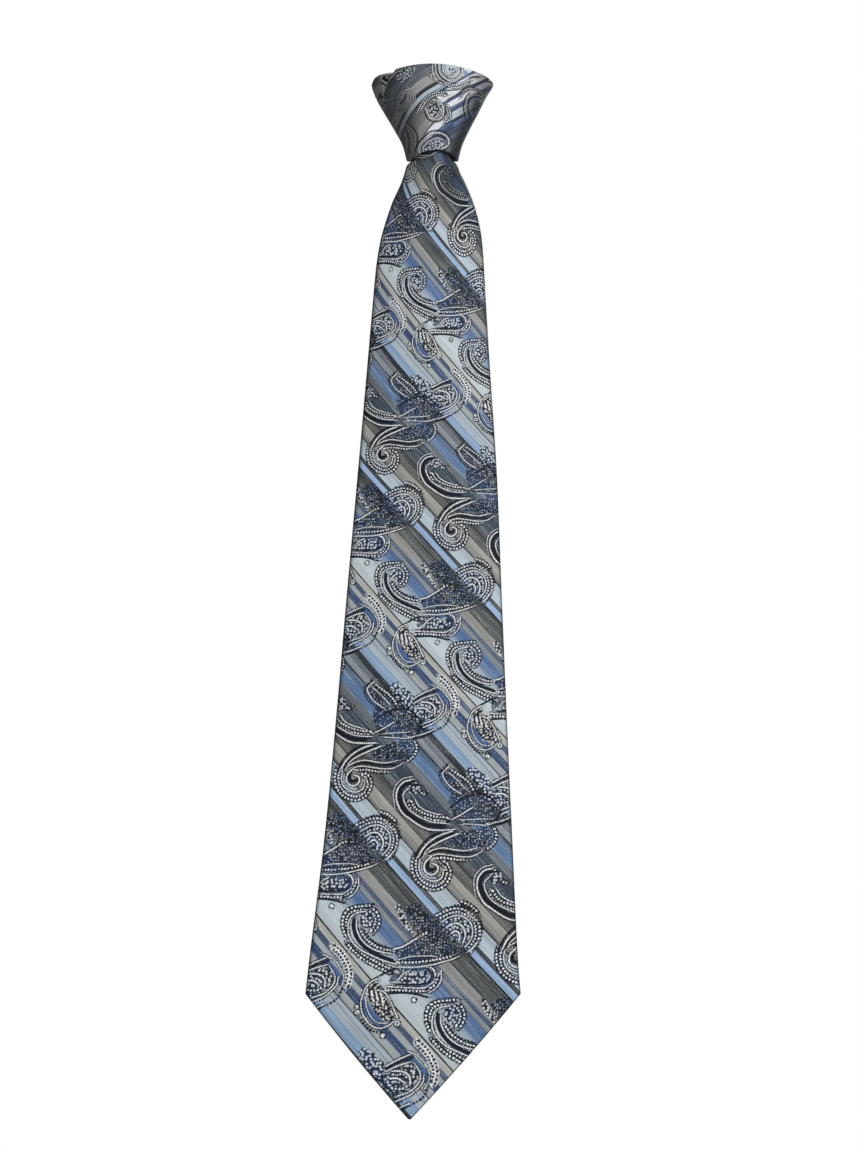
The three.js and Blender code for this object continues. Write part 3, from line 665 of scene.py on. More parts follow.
FIGURE = {
    "main_paisley": [
        ("pebbles", [
            (-131, -36.5), (-137, -36), (-143, -35.5), (-150, -33.5), (-153.5, -28.5), (-153.7, -21),
            (-151, -13.7),
        ]),
        ("pebbles", [(-129.5, -15.5), (-126.4, -20), (-125.8, -26), (-128.2, -31.4), (-133, -34.8)]),
        ("pebbles", [(-149, -6.5), (-143, -0.5), (-135, 6), (-126, 11), (-117, 15.5), (-111, 18)]),
        ("line", [
            (-137, -33), (-144, -31.5), (-149, -27.5), (-150.5, -20), (-148.5, -11), (-140, -1.3),
            (-127.5, 5), (-115, 10), (-106, 12),
        ]),
        ("band", [(-146, -26), (-146, -20), (-142.5, -11), (-135, -2.5), (-124, 3.8), (-110, 9.2)]),
        ("line", [(-143.6, -25), (-142.8, -17.5), (-138, -8.8), (-130, -2), (-121, 1.6), (-113, 3)]),
        ("beads", [(-140.4, -18), (-133.8, -9), (-123.8, -2.6), (-115, 0), (-108, 1)]),
        ("dark_beads", [(-136, -16), (-131, -9.5), (-124, -5.2), (-117, -3)]),
        ("bold", [(-109.4, -1), (-102.5, -3), (-96, -6.9), (-91, -10)]),
        ("beads", [(-91, -10.5), (-87, -13), (-82, -15)]),
    ],
    "main_cloud": [
        ("hair", [(-105, 8), (-95, 5.5), (-80, 5), (-72, 6)]),
        ("beads", [(-105, 10.6), (-92, 10.4), (-80, 9.2), (-70, 7.4), (-60, 4.8)]),
        ("line", [(-105, 14.4), (-90, 14.4), (-77.5, 12.5), (-70, 10.6), (-61, 8), (-53.8, 5)]),
        ("dark_beads", [(-105, 17), (-97, 17), (-89, 16.6)]),
    ],
    "lens": [
        ("bold", [
            (-88, 14.8), (-80, 14.2), (-75.5, 16.8), (-73.8, 23.8), (-77.5, 28.8), (-83.8, 31.9),
            (-95, 31.9), (-106, 31.3), (-112.5, 30.6),
        ]),
        ("dark", [(-80, 17.5), (-76.8, 21), (-78.5, 26), (-84, 28.8), (-95, 29.2), (-106, 28.6)]),
        ("line", [(-104, 24), (-101, 20), (-96, 17.4)]),
        ("line", [(-69.4, 18), (-69, 25), (-72.5, 31.3), (-77.5, 35), (-82.5, 36.3)]),
        ("beads", [(-71.6, 22), (-74.2, 29), (-79.5, 32.9)]),
        ("beads", [(-112, 33.6), (-100, 33.8), (-88, 34.6), (-81, 34.4)]),
        ("dark", [(-111, 36.3), (-100, 35.8), (-90, 36.9), (-80, 39.4)]),
        ("ring", (-90.6, 41.9), 1.3),
    ],
    "shell": [
        ("dark", [(-123.8, 23.8), (-115, 18.8), (-106, 15.4)]),
        ("line", [
            (-123, 24.4), (-128.8, 28), (-132.5, 35), (-134.4, 43.8), (-132.5, 52.5), (-127.5, 60),
            (-122.5, 63.8), (-116.3, 65), (-110, 62.5), (-105.6, 58.8),
        ]),
        ("dark", [(-123, 29), (-127, 33)]),
        ("hair", [(-130.6, 40), (-129.6, 47), (-126.6, 53.5), (-121.3, 59.6), (-115, 61)]),
        ("line", [(-121, 33.5), (-115.5, 35.5), (-110.5, 42), (-106.5, 50), (-103, 57)]),
        ("ribbon", [(-129.6, 34.6), (-125.4, 35.8), (-121, 38), (-117.4, 41)]),
        ("dark", [(-128.6, 32.2), (-127.8, 35.6), (-127.6, 38.6)]),
        ("dark", [(-124.8, 33), (-123.6, 37), (-122.8, 40.4)]),
        ("dark", [(-120.8, 35.6), (-119.4, 39.2), (-118.2, 42.4)]),
        ("dark_beads", [(-124.5, 46.5), (-120.8, 52), (-116, 56)]),
        ("dark_beads", [(-118.8, 44), (-115.8, 50), (-110.4, 55.2)]),
        ("dark_beads", [(-117, 39), (-113.2, 44), (-109.6, 50)]),
        ("ring", (-136.8, 51.9), 1.7),
        ("ring", (-137.4, 47.4), 1.3),
        ("dark_beads", [(-134.6, 56), (-130, 62), (-123.8, 67), (-115.6, 68)]),
        ("ring", (-114.4, 71), 1.4),
        ("ring", (-103.4, 61), 1.8),
    ],
    "fan": [
        ("pebbles", [
            (-150, -107.5), (-141, -111.8), (-132.8, -113.4), (-124.4, -110.6), (-117.2, -103.4),
            (-114.8, -95), (-116.4, -86.6), (-121.6, -78.9),
        ]),
        ("line", [
            (-146, -103.5), (-139, -107.6), (-132, -108.9), (-126, -107), (-121, -102), (-119.3, -95),
            (-120.6, -88.4), (-125.4, -82),
        ]),
        ("bold", [
            (-142, -98.6), (-137.4, -101.6), (-132, -102), (-127.6, -98.6), (-125.4, -92.4), (-127, -86),
        ]),
        ("bold", [(-138.6, -92.6), (-134, -95.8), (-130.4, -92.8), (-130.6, -87.4)]),
        ("bold", [(-123.4, -77.4), (-119.4, -80.6), (-116, -85.2)]),
        ("dark_beads", [
            (-141, -115.6), (-134, -117.4), (-126, -116.4), (-118, -112), (-112.6, -105), (-110.6, -97),
        ]),
        ("beads", [(-129, -120.6), (-122, -117.6), (-115.6, -112)]),
        ("hair", [(-124, -111), (-118, -105)]),
    ],
    "grey_curl": [
        ("dark", [(-96.4, -81), (-92.2, -89.4), (-85.2, -97.2), (-75.4, -102.4), (-67, -104)]),
        ("bold", [(-93.6, -80.6), (-90, -87.6), (-83.8, -94.4), (-75.4, -99.6), (-66, -103)]),
        ("dark", [(-91, -81), (-88.2, -86.6), (-82, -92.2), (-74, -97), (-64, -101.6)]),
        ("bold", [(-88.7, -82.4), (-86, -87.4), (-79.6, -91.8), (-69.8, -96.6), (-60, -100.8)]),
        ("line", [(-86.6, -83.4), (-81, -86.6), (-72.6, -88.4), (-61.4, -86.8), (-53, -86), (-44, -87.6)]),
        ("dark", [(-84, -83.4), (-77, -85.6), (-68, -85.4), (-57, -83.6), (-46, -84)]),
        ("line", [(-82.4, -81.7), (-75.4, -83), (-67, -82.2), (-55.8, -80.6), (-46, -81), (-38, -85)]),
        ("beads", [(-79, -79), (-70, -79.6), (-60, -78), (-51, -77.8)]),
        ("bold", [
            (-82.4, -80.6), (-87, -76), (-88, -70), (-84.8, -65.8), (-79.8, -65), (-76, -68.2),
            (-76.6, -73), (-80.4, -74.4),
        ]),
        ("band", [(-84.4, -76), (-85.2, -71.4), (-82.6, -68.6), (-79.4, -69.8)]),
        ("pebbles", [
            (-96, -81), (-97.2, -72.6), (-94.2, -62.8), (-86.8, -55.8), (-78, -53.4), (-70, -57),
            (-66.3, -65), (-67.9, -72), (-72.4, -75.6),
        ]),
        ("line", [
            (-92, -78), (-92.6, -71.4), (-89.8, -64.4), (-84, -60.4), (-77.4, -59.2), (-72, -62.6),
            (-70.8, -68),
        ]),
    ],
    "second_curl": [
        ("hair", [(-104.8, -152.6), (-112, -150.6), (-118, -144.4), (-119.4, -136), (-118, -128.4)]),
        ("bold", [
            (-104.8, -149.6), (-110.4, -148), (-115.3, -142.6), (-116.7, -135.6), (-115.3, -128.6),
            (-110.4, -120), (-103.4, -114.6), (-95, -109), (-86.6, -105.2), (-75.4, -104.2),
            (-64, -104.6),
        ]),
        ("band", [
            (-104.4, -146.8), (-109, -145.4), (-112.6, -141), (-113.6, -135.4), (-112, -129),
            (-107.8, -121.8), (-101.6, -116.8), (-93.4, -111.8), (-84, -108.4), (-73, -107.6),
        ]),
        ("line", [
            (-106.8, -141.6), (-110, -138), (-110.2, -133.6), (-108, -128), (-104, -122.4),
            (-98.4, -118.4), (-90.8, -114.4), (-82, -111.4), (-70, -110.4),
        ]),
        ("pebbles", [
            (-104.2, -129.4), (-100.4, -123.4), (-94.8, -119.6), (-88, -116.8), (-79, -114.6),
            (-70, -113.8),
        ]),
        ("beads", [(-95.4, -140), (-92.4, -136.6), (-89.6, -137.8)]),
        ("line", [(-99, -131), (-95, -125.6), (-88, -121.4), (-78, -118.4)]),
    ],
    "second_cloud": [
        ("line", [(-64, -114.6), (-58.3, -117.5), (-48.3, -123.8)]),
        ("hair", [(-55.5, -113.5), (-45, -114), (-34.5, -114.5)]),
        ("hair", [(-54.5, -109.8), (-44, -109.4), (-34.5, -108.8), (-25, -111.5)]),
        ("dark", [
            (-65.5, -125.5), (-59.5, -130.5), (-49.5, -135.5), (-36.5, -136.5), (-27.5, -130.5),
            (-21.5, -122.5), (-25.5, -112.5),
        ]),
        ("beads", [(-28.3, -107.5), (-25.6, -103.4), (-25, -98), (-27.6, -92), (-33, -87.4)]),
        ("line", [(-70.5, -161.5), (-75.4, -155.6), (-72.6, -149.4), (-67.4, -143.4), (-59, -137.6)]),
        ("dark_beads", [(-72.4, -163), (-78.4, -156), (-75.4, -147.4), (-69, -140.6), (-61, -135)]),
        ("hair", [(-69, -156), (-62, -150), (-53, -141)]),
        ("beads", [(-66, -158.6), (-57.4, -152.6), (-50, -146.4), (-46, -139.4)]),
    ],
    "round": [
        ("line", [(-109, 95), (-100, 90), (-90, 85.6)]),
        ("dark", [(-109, 97), (-100, 92.4), (-89.6, 88.8)]),
        ("line", [(-108.8, 99.4), (-100, 95), (-90, 92)]),
        ("pale_pebbles", [(-86, 76.6), (-79.4, 82.6), (-73.4, 91), (-70.4, 100), (-71.6, 109)]),
        ("hair", [(-92.5, 83.8), (-83.8, 88.2), (-77.5, 96), (-75, 101.6), (-75.6, 108.8), (-78.8, 114.4)]),
        ("line", [(-87.5, 93.4), (-82.5, 101), (-83, 108.4), (-89.4, 115.4), (-100, 119.6)]),
        ("line", [(-79.4, 103), (-80, 108.6), (-84.8, 114.6), (-91, 119.4), (-100, 123.4)]),
        ("bold", [(-103, 99.4), (-96, 100), (-90.6, 104), (-90, 110)]),
        ("bold", [(-106, 105.4), (-100, 105.4), (-95.4, 108.4)]),
        ("dark_beads", [(-75.4, 112.4), (-78.6, 119.6), (-85, 124.6), (-93.5, 126.6)]),
        ("line", [(-90, 125.4), (-97.5, 128.8), (-105, 131), (-115, 132.5)]),
        ("dark", [(-92, 128.4), (-100, 132.2), (-109, 134.4)]),
        ("beads", [(-104, 113), (-97, 113.6), (-90.4, 110.4)]),
    ],
}

# Patches of the figure that are woven all over in one way. Speckle has mixed dots on navy, beads
# and cream have close dots on a dark ground, and blue is plain.
PATCHES = [
    {"weave": "speckle", "outline": [
        (-96, -40), (-88, -40), (-80, -30), (-68, -20), (-62, -5), (-52, 2), (-54, 6), (-62, 9),
        (-75, 11), (-90, 12), (-105, 10), (-108, 2), (-95, -6), (-90, -12), (-98, -22), (-104, -34),
    ]},
    {"weave": "beads", "outline": [
        (-112, -38), (-108, -40), (-104, -32), (-99, -22), (-92, -13), (-96, -12), (-103, -21),
        (-109, -30),
    ]},
    {"weave": "speckle", "outline": [
        (-69, -130), (-66, -141), (-53, -146), (-40, -146), (-27.5, -137.5), (-13, -122.5),
        (-19, -112.5), (-28, -107.5), (-47, -107.5), (-61, -109.5),
    ]},
    {"weave": "speckle", "outline": [
        (-57.5, -102.5), (-44.5, -105.5), (-32.5, -107), (-27.5, -100.5), (-27.5, -92.5), (-32.5, -86.5),
        (-41.5, -87.5), (-54.5, -89.5), (-71, -90.5),
    ]},
    {"weave": "speckle", "outline": [
        (-71, -162), (-76, -156), (-72, -148), (-60, -138), (-48, -139), (-50, -146), (-58, -152),
        (-66, -158),
    ]},
    {"weave": "beads", "outline": [
        (-134, 82), (-126, 80), (-120, 86), (-112, 92), (-107, 100), (-106, 110), (-112, 112),
        (-118, 104), (-126, 96), (-133, 90),
    ]},
    {"weave": "beads", "outline": [
        (-104, 25), (-97, 18), (-79, 17), (-75.5, 22), (-79, 27.5), (-86, 29.5), (-104, 28.5),
    ]},
    {"weave": "beads", "outline": [
        (-142.4, -26), (-140, -31.5), (-134.4, -33.6), (-128.6, -31), (-126.4, -25.6), (-128.4, -20),
        (-133, -17.4), (-138.6, -19.6),
    ]},
    {"weave": "beads", "outline": [
        (-106.6, -142), (-105, -146.4), (-100.6, -148.4), (-96, -146.6), (-94.2, -142), (-96, -137.6),
        (-100.6, -135.6), (-105, -137.6),
    ]},
    {"weave": "beads", "outline": [
        (-106.3, 104.4), (-104, 99), (-98.8, 96.9), (-92, 98.6), (-91, 104.4), (-93.6, 109.8),
        (-98.8, 112), (-104, 109.8),
    ]},
    {"weave": "beads", "outline": [
        (-150, -102), (-143, -108), (-133, -111), (-124.4, -108), (-118.5, -102), (-117, -95),
        (-118.5, -87), (-123.6, -80), (-130, -81), (-140, -91),
    ]},
    {"weave": "speckle", "outline": [
        (-112.5, 24), (-108, 19.5), (-103, 17.5), (-101.5, 19), (-104, 23), (-109, 27), (-112, 27),
    ]},
    {"weave": "cream", "outline": [
        (-124, 26), (-117, 31), (-110, 40), (-104, 53), (-107, 58.6), (-112, 60), (-119, 56), (-125, 48),
        (-129, 38), (-128, 30),
    ]},
    {"weave": "blue", "outline": [
        (-131.6, 39), (-128, 44), (-124, 50), (-117, 57.4), (-112, 60.6), (-117, 62.6), (-123.6, 61),
        (-129, 55), (-132, 47),
    ]},
    {"weave": "blue", "outline": [
        (-93, 88), (-85.6, 90.4), (-79, 97), (-77, 103), (-79, 110), (-82, 107), (-83.4, 100), (-88, 93),
    ]},
    {"weave": "beads", "outline": [
        (-107, 101), (-100, 96), (-91, 93.5), (-86, 97), (-83.5, 104), (-86, 111), (-92, 116),
        (-101, 119), (-108, 116),
    ]},
]

# The knot's silk lies on the bias and bends round the knot. Its chart is the knot seen from the
# front, in squares right of the clip's middle and down from its mount.
KNOT_STRIPE_MIDDLE = (18.0, 53.0)
KNOT_STRIPE_RUN = (0.866, -0.5)
KNOT_STRIPE_BEND = 110.0
KNOT_STRIPE_STRAIGHT = -85.0  # squares along the stripes, beyond which they bend no further
KNOT_CHART_TOP = 1.6  # squares that the chart's top lies above the clip's mount
KNOT_CHART_SIDE = -14.0  # y in mm, behind which the chart runs on round the knot's sides
# The knot's yarns hold some painted shade as well as the silk's own colours, as their tones were read off
# the lit knot.
KNOT_STRIPES = [
    {"at": -120.0, "yarn": "charcoal"},
    {"at": -84.0, "yarn": "slate_grey"},
    {"at": -77.0, "yarn": "charcoal"},
    {"at": -70.0, "yarn": "slate_grey"},
    {"at": -65.0, "yarn": "dark_navy"},
    {"at": -61.0, "yarn": "ash"},
    {"at": -54.5, "yarn": "tan"},
    {"at": -45.0, "yarn": "black"},
    {"at": -41.6, "yarn": "pale_blue"},
    {"at": -37.4, "yarn": "charcoal"},
    {"at": -33.0, "yarn": "taupe"},
    {"at": -26.0, "yarn": "drab"},
    {"at": -20.5, "yarn": "tan"},
    {"at": -12.6, "yarn": "black"},
    {"at": -11.4, "yarn": "white_rose"},
    {"at": -4.0, "yarn": "navy"},
    {"at": 1.0, "yarn": "deep_navy"},
    {"at": 8.0, "yarn": "dark_navy"},
    {"at": 15.0, "yarn": "charcoal"},
    {"at": 26.0, "yarn": "slate"},
    {"at": 34.0, "yarn": "charcoal"},
]
# Right of the round motif the same stripes run on in other yarns: partly the silk's own, partly
# painted light, with pale yarns brightened for a painted highlight right of the knot's middle and
# navies deepened for painted shade on its lower right.
KNOT_RIGHT_STRIPES = [
    {"at": -120.0, "yarn": "charcoal"},
    {"at": -84.0, "yarn": "slate"},
    {"at": -74.0, "yarn": "ice_blue"},
    {"at": -66.0, "yarn": "navy"},
    {"at": -60.0, "yarn": "ice_blue"},
    {"at": -52.0, "yarn": "silver"},
    {"at": -42.2, "yarn": "white_rose"},
    {"at": -36.2, "yarn": "navy"},
    {"at": -33.0, "yarn": "white_rose"},
    {"at": -23.4, "yarn": "navy"},
    {"at": -20.2, "yarn": "white_rose"},
    {"at": -15.6, "yarn": "navy"},
    {"at": -10.8, "yarn": "silver"},
    {"at": -4.6, "yarn": "deep_navy"},
    {"at": -1.0, "yarn": "blue"},
    {"at": 2.4, "yarn": "deep_navy"},
    {"at": 8.0, "yarn": "navy"},
    {"at": 11.0, "yarn": "ink"},
    {"at": 19.0, "yarn": "charcoal"},
    {"at": 30.0, "yarn": "ash"},
    {"at": 38.0, "yarn": "charcoal"},
]
KNOT_RIGHT_FROM = 3.0
KNOT_RIGHT_TOP = -36.2  # above this level the change lies further along
KNOT_RIGHT_SHIFT = 14.0
KNOT_RANGE = (-120.0, 60.0)
KNOT_FINENESS = 1.4  # the knot's figure looks finer, drawn together by the winding

KNOT_FIGURE = {
    "left_ring": [
        ("pebbles", [
            (-24.5, 18.5), (-20.8, 20.8), (-19.8, 25), (-21, 29.2), (-24.8, 32.8), (-29.5, 36),
            (-33, 35.4), (-33.8, 31.5), (-32.6, 26), (-29.6, 21.4), (-25.5, 18.6),
        ]),
        ("hair", [
            (-24, 15.4), (-18.2, 19.2), (-16.6, 24.6), (-17.8, 30.2), (-22, 34.8), (-27, 39),
            (-32.4, 41),
        ]),
        ("band", [(-26, 24), (-27, 27), (-30, 30.4)]),
    ],
    "round_head": [
        ("pebbles", [(-13, 39), (-7.4, 29.6), (-1.8, 24.2), (6.2, 21.6), (13, 22.4)]),
        ("bold", [(-5.6, 38), (-1.8, 45.4), (6, 47.2), (11.2, 42.2), (11, 34.5), (7.4, 29.4), (1, 27.8)]),
        ("dark", [(-7.6, 39.6), (-3.4, 47.4), (5.6, 49.6), (13, 44), (13.4, 35.5)]),
        ("pebbles", [(15, 34.6), (17, 39.7), (17.2, 45), (13.6, 49)]),
        ("dark", [(-1.6, 36), (1, 33), (4.6, 33.4), (6.4, 37), (5, 41)]),
    ],
    "bottom_head": [
        ("bold", [
            (-12, 81.8), (-13.2, 74), (-8.5, 67.2), (-1.6, 62), (7, 60.3), (14, 63), (17, 68),
            (15.7, 72.8), (8.8, 76.4),
        ]),
        ("dark", [(-9.8, 80), (-10.6, 74.4), (-6.4, 69), (-0.4, 64.6), (6.6, 62.8), (12, 65), (14.4, 69)]),
        ("line", [(-8.2, 79), (-8.6, 74.6), (-4.8, 70.2), (0.6, 66.8), (6.4, 65.4), (10.6, 67)]),
        ("dark", [
            (-14.4, 82), (-15.8, 73.6), (-10.4, 65.4), (-2.6, 59.6), (7.4, 57.8), (15.6, 61), (19.6, 68),
        ]),
    ],
    "ear_leaf": [
        ("beads", [(28.5, 25), (31, 21), (36.3, 16.8), (44, 17), (51, 21), (56, 26.4)]),
        ("line", [(35.5, 44), (33.7, 34.5), (35.5, 26.7), (41.5, 22.4), (48.6, 23.4), (53.4, 28.8)]),
        ("line", [(40.6, 43.5), (38, 36.2), (38.9, 28.8), (43, 25.4)]),
        ("dark", [(38, 44), (35.9, 35.4), (37.2, 27.6), (42.2, 24), (48.6, 25.6)]),
        ("dark", [(33, 44), (31.4, 34.4), (33.4, 25.6), (37.4, 20.8)]),
    ],
    "top_scroll": [
        ("line", [(7, -7), (8, 1), (12.2, 6), (20, 9.5), (26.8, 7), (30.3, 1.8), (30.4, -4)]),
        ("dark", [(9.4, -7), (10.2, 0), (14, 4.4), (20, 7), (25, 5), (28, 1), (28.2, -4)]),
        ("line", [(12.6, -6), (13.4, -0.4), (16, 3), (20, 4.4), (23.8, 2.4), (25, -2.5)]),
        ("line", [(3.4, -7), (4.4, 1), (7.4, 6), (13.4, 10.6)]),
        ("dark", [(5.2, -7), (6.2, 0.6), (9.8, 6), (16, 10.2)]),
        ("line", [(0.4, -6), (1.4, 2), (4.4, 7)]),
        ("pebbles", [(-1, 3.4), (7, 9), (14, 11.6), (20, 14.2), (27.7, 13.8), (36.3, 9.8)]),
        ("dark", [(12, 18.6), (20, 18.4), (29, 17.2), (36, 13.6)]),
        ("band", [(38.4, 6), (42, 4.8), (46.4, 4.8)]),
    ],
    "gathers": [
        ("hair", [(-25.7, 51.7), (-18.8, 58.6), (-16.2, 65.5), (-18, 75)]),
        ("dark", [(-23.4, 51.6), (-17.2, 57.6), (-14.2, 65), (-15.8, 75)]),
        ("hair", [(-24, 56), (-20.5, 63), (-19.6, 69.8), (-20.5, 79)]),
        ("hair", [(-18.8, 82), (-17.8, 74), (-12.8, 67), (-6, 61)]),
        ("dark", [(-17, 82), (-16, 74.6), (-11, 67.6), (-4.4, 61)]),
        ("dark", [(-26, 57), (-23.4, 64), (-22.6, 71), (-23.4, 80)]),
        ("hair", [(-27.6, 60), (-25.4, 66), (-25, 74), (-25.6, 80)]),
    ],
    # A painted shadow: a dark stroke along the fold below the right ear's pleat.
    "pleat_shadow": [
        ("dark", [
            (61.5, 9.8), (54, 8.6), (47.5, 10), (41.5, 12.4), (35, 15.4), (29, 19.4), (23.8, 23.4),
            (16, 27.6),
        ]),
    ],
    "cut_edge": [
        ("line", [(-36, 0.4), (-43.4, 8.6), (-48.4, 21)]),
        ("dark", [(-34, 1.2), (-41.2, 9.4), (-46.2, 21.6)]),
        ("dark", [(-38, -0.6), (-45.4, 7.4), (-50.4, 20)]),
    ],
}
KNOT_PATCHES = [
    {"weave": "beads", "outline": [(-37, -1), (-22, -6), (-15, -4), (-21, 4), (-30, 10), (-37, 8)]},
    {"weave": "beads", "outline": [(-54, 20), (-49, 21), (-45, 30), (-47, 38), (-52, 34)]},
    {"weave": "beads", "outline": [
        (-3.8, 37), (-1.6, 31.4), (4, 29), (9.6, 31.6), (11.4, 37), (9, 43), (4, 45.4), (-1.8, 43),
    ]},
    {"weave": "beads", "outline": [
        (-6.6, 74), (-2.4, 69.6), (3.6, 66.8), (10, 67.6), (13.4, 71), (11, 76), (4, 79.6), (-2.4, 80),
        (-6.6, 78),
    ]},
    {"weave": "speckle", "outline": [
        (40.6, 31), (42.6, 27.4), (46, 26.6), (49.6, 29), (50.4, 33), (47, 37), (42.4, 38.4), (40.4, 35),
    ]},
    {"weave": "beads", "outline": [(17, -4), (22.6, -4), (23.4, 0), (20, 3), (16.6, 0.6)]},
    {"weave": "blue", "outline": [(31.6, -2), (35.6, -1), (36.4, 5), (32.6, 6)]},
]

# How a thread lies beside its stroke, in squares: half the width of the ground under it and of its
# line, the radius, sideways offset and spacing of its dots, and its yarn. A kind of thread says
# what is its own.
THREAD = {"ground": 0.0, "line": 0.0, "dot": 0.0, "offset": 0.0, "spacing": 3.0, "ink": "pale"}
THREADS = [
    {"kind": "line", "ground": 1.55, "line": 0.5},
    {"kind": "bold", "ground": 1.8, "line": 0.66},
    {"kind": "hair", "ground": 1.1, "line": 0.38},
    {"kind": "ring", "ground": 1.5, "line": 0.5},
    {"kind": "ribbon", "line": 2.9},
    {"kind": "dark", "line": 0.95, "ink": "dark"},
    {"kind": "band", "line": 1.55, "ink": "dark"},
    {"kind": "beads", "ground": 2.1, "dot": 0.92, "spacing": 2.9},
    {"kind": "dark_beads", "dot": 1.15, "spacing": 2.9, "ink": "dark"},
    {"kind": "pebbles", "ground": 3.7, "dot": 0.94, "offset": 1.65},
    {"kind": "pale_pebbles", "ground": 3.4, "dot": 1.15, "offset": 1.7, "spacing": 3.1, "ink": "dark"},
]
WIDE_THREADS = ("pebbles", "pale_pebbles", "ribbon")
LINE_STITCH = 1.9  # squares from stitch to stitch along a line
LINE_RIPPLE = 0.2
# How far the noise moves the dots, swells them and the lines, and frays the grounds' edges.
SWAY_SCALE = 0.75
DOT_SWAY = 1.5
DOT_SWELL = 1.4
LINE_SWELL = 0.6
GROUND_FRAY = 3.0
DOT_SOFTNESS = 0.45  # squares that an edge's step takes
LINE_SOFTNESS = 0.4
GROUND_SOFTNESS = 0.7
NO_WIDTH = 0.01
LAYERS = 4
STROKE_STEP = 0.5  # squares between the points that a stroke is followed by
RING_STEPS = 4 * math.pi  # points round a ring, for each square of its radius
RING_LEAST = 12
REACH = 5.5  # squares from a face to the furthest stroke that can touch it
FOLLOWED = 8  # points to each side of the nearest one that a stroke is followed for
NO_STROKE = (0.0, 99.0, 3.0)  # along, aside and spacing where no stroke is near
FAR = 1e9

# The weaves of the patches that have dots: squares from dot to dot, a dot's radius as a share of
# that, the share of bare places, how much of the cloth the ground hides, and the second yarn of
# the dots with how much of it there is.
DOTTED_WEAVES = [
    {
        "weave": "speckle", "pitch": 2.3, "radius": 0.3, "bare": 0.2,
        "ground": 0.86, "second": "#526890", "share": 1.1,
    },
    {
        "weave": "beads", "pitch": 3.0, "radius": 0.36, "bare": 0.0,
        "ground": 0.96, "second": "#8fa3c0", "share": 0.4,
    },
    {
        "weave": "cream", "pitch": 2.7, "radius": 0.37, "bare": 0.0,
        "ground": 0.93, "second": "#c6c1b4", "share": 0.6,
    },
]
PATCH_WEAVES = (*(row["weave"] for row in DOTTED_WEAVES), "blue")
PATCH_REACH = 4.0
PATCH_FRAY = 1.6  # squares from the dots furthest out at a patch's edge to those furthest in
PATCH_SOFTNESS = 0.9
PATCH_DOT_SOFTNESS = 0.14
PATCH_DOT_COVER = 0.9
PATCH_SCATTER = 0.78
BLUE_PATCH = {"colour": "#4a6694", "cover": 0.85, "softness": 0.8}

# The yarns' streaks: how fine they are across the stripes and along them, for each square.
STREAKS = [
    {"across": 1.1, "along": 0.035},
    {"across": 0.32, "along": 0.012},
]
GRAIN_STRENGTH = 0.9
YARN_STRENGTH = 0.55
STREAK_LIGHT = "#d2d6d9"
STREAK_DARK = "#24272c"

# The threads' colours: dark ones on a grey stripe and on a blue one, pale ones dull and bright.
# Each pair of numbers below them is a gain and a base.
DARK_THREADS = ("#121519", "#1d2c47")
PALE_THREADS = ("#76818f", "#f4f6f7")
BLUE_CAST = 3.2  # how fast a dark thread turns blue with its stripe
STRIPE_LIGHT = (1.1, 0.5)  # a pale thread's brightness, from its stripe's
LUSTRE = (3.4, -0.75)  # a pale thread's brightness, from the slow noise
STRIPE_TINT = (0.5, 0.04)  # how much a pale thread shows its stripe, from the stripe's blue
SUNK_TINT = 0.66  # how much more it does where the figure sinks into the stripes
SUNK_START_SOFTNESS = 1.0
SUNK_END_SOFTNESS = 8.0
# The colour that painted shade darkens the silk towards, and how far it goes.
SHADE_COLOUR = "#10141a"
SHADE_DEPTH = 0.86

SILK_ROUGHNESS = 0.52
THREAD_SMOOTHNESS = 0.12  # how much less rough the raised threads are
TWILL_RELIEF = 0.25  # height of the twill's ribs beside the raised threads'
SILK_BUMP = 0.6
SILK_SHEEN = {"Sheen Weight": 0.04, "Sheen Roughness": 0.4}
# The satin's highlights, and how much the noise sways the figure.
BLADE_SILK = {"gloss": 0.1, "looseness": 1.0}
KNOT_SILK = {"gloss": 0.42, "looseness": 0.6}
REVERSE = {"colour": "#6f7680", "roughness": 0.6}
STEEL = {"colour": "#b9bcc0", "roughness": 0.3}


def linear(code):
    """A colour written as #rrggbb, as Blender's linear red, green, blue and alpha."""
    parts = [int(code[i : i + 2], 16) / 255 for i in (1, 3, 5)]
    linear_parts = [p / 12.92 if p <= 0.04045 else ((p + 0.055) / 1.055) ** 2.4 for p in parts]
    return (*linear_parts, 1.0)


def chart_place(x, z):
    """Where a point of the hanging silk lies on the chart."""
    rise = CUT_NARROWING * (z - CUT_MIDDLE[1])
    across = (x - CUT_MIDDLE[0]) / np.exp(-rise) / SQUARE
    down = (1 - np.exp(rise)) / CUT_NARROWING / SQUARE
    return across, down


def pulled_place(x, z, middle):
    """Where a point of the blade lies on the chart, and its stripes' level and run, once the
    cloth's pull is counted. middle is the blade's middle at the point's height."""
    across, down = chart_place(x, z)
    pull = {column: sample(PULL, "down", column, -z) for column in PULL[0] if column != "down"}
    level, along = blade_stripe_place(across, down)
    level = level - pull["level"] - pull["lean"] * np.clip(x - middle, -LEAN_REACH, LEAN_REACH)
    return across + pull["across"], down + pull["along"], level, along


def blade_stripe_place(across, down):
    """How far across the stripes and along them each place of the chart lies."""
    level = STRIPE_START - STRIPE_NORMAL[0] * across - STRIPE_NORMAL[1] * down
    return level, STRIPE_NORMAL[0] * down - STRIPE_NORMAL[1] * across


def knot_stripe_place(across, down):
    """The same for the knot, whose stripes bend down at the left."""
    x, y = across - KNOT_STRIPE_MIDDLE[0], down - KNOT_STRIPE_MIDDLE[1]
    run_x, run_y = KNOT_STRIPE_RUN
    along = x * run_x + y * run_y
    level = -x * run_y + y * run_x
    return level - np.clip(along, KNOT_STRIPE_STRAIGHT, 0) ** 2 / KNOT_STRIPE_BEND, along


# Meshes


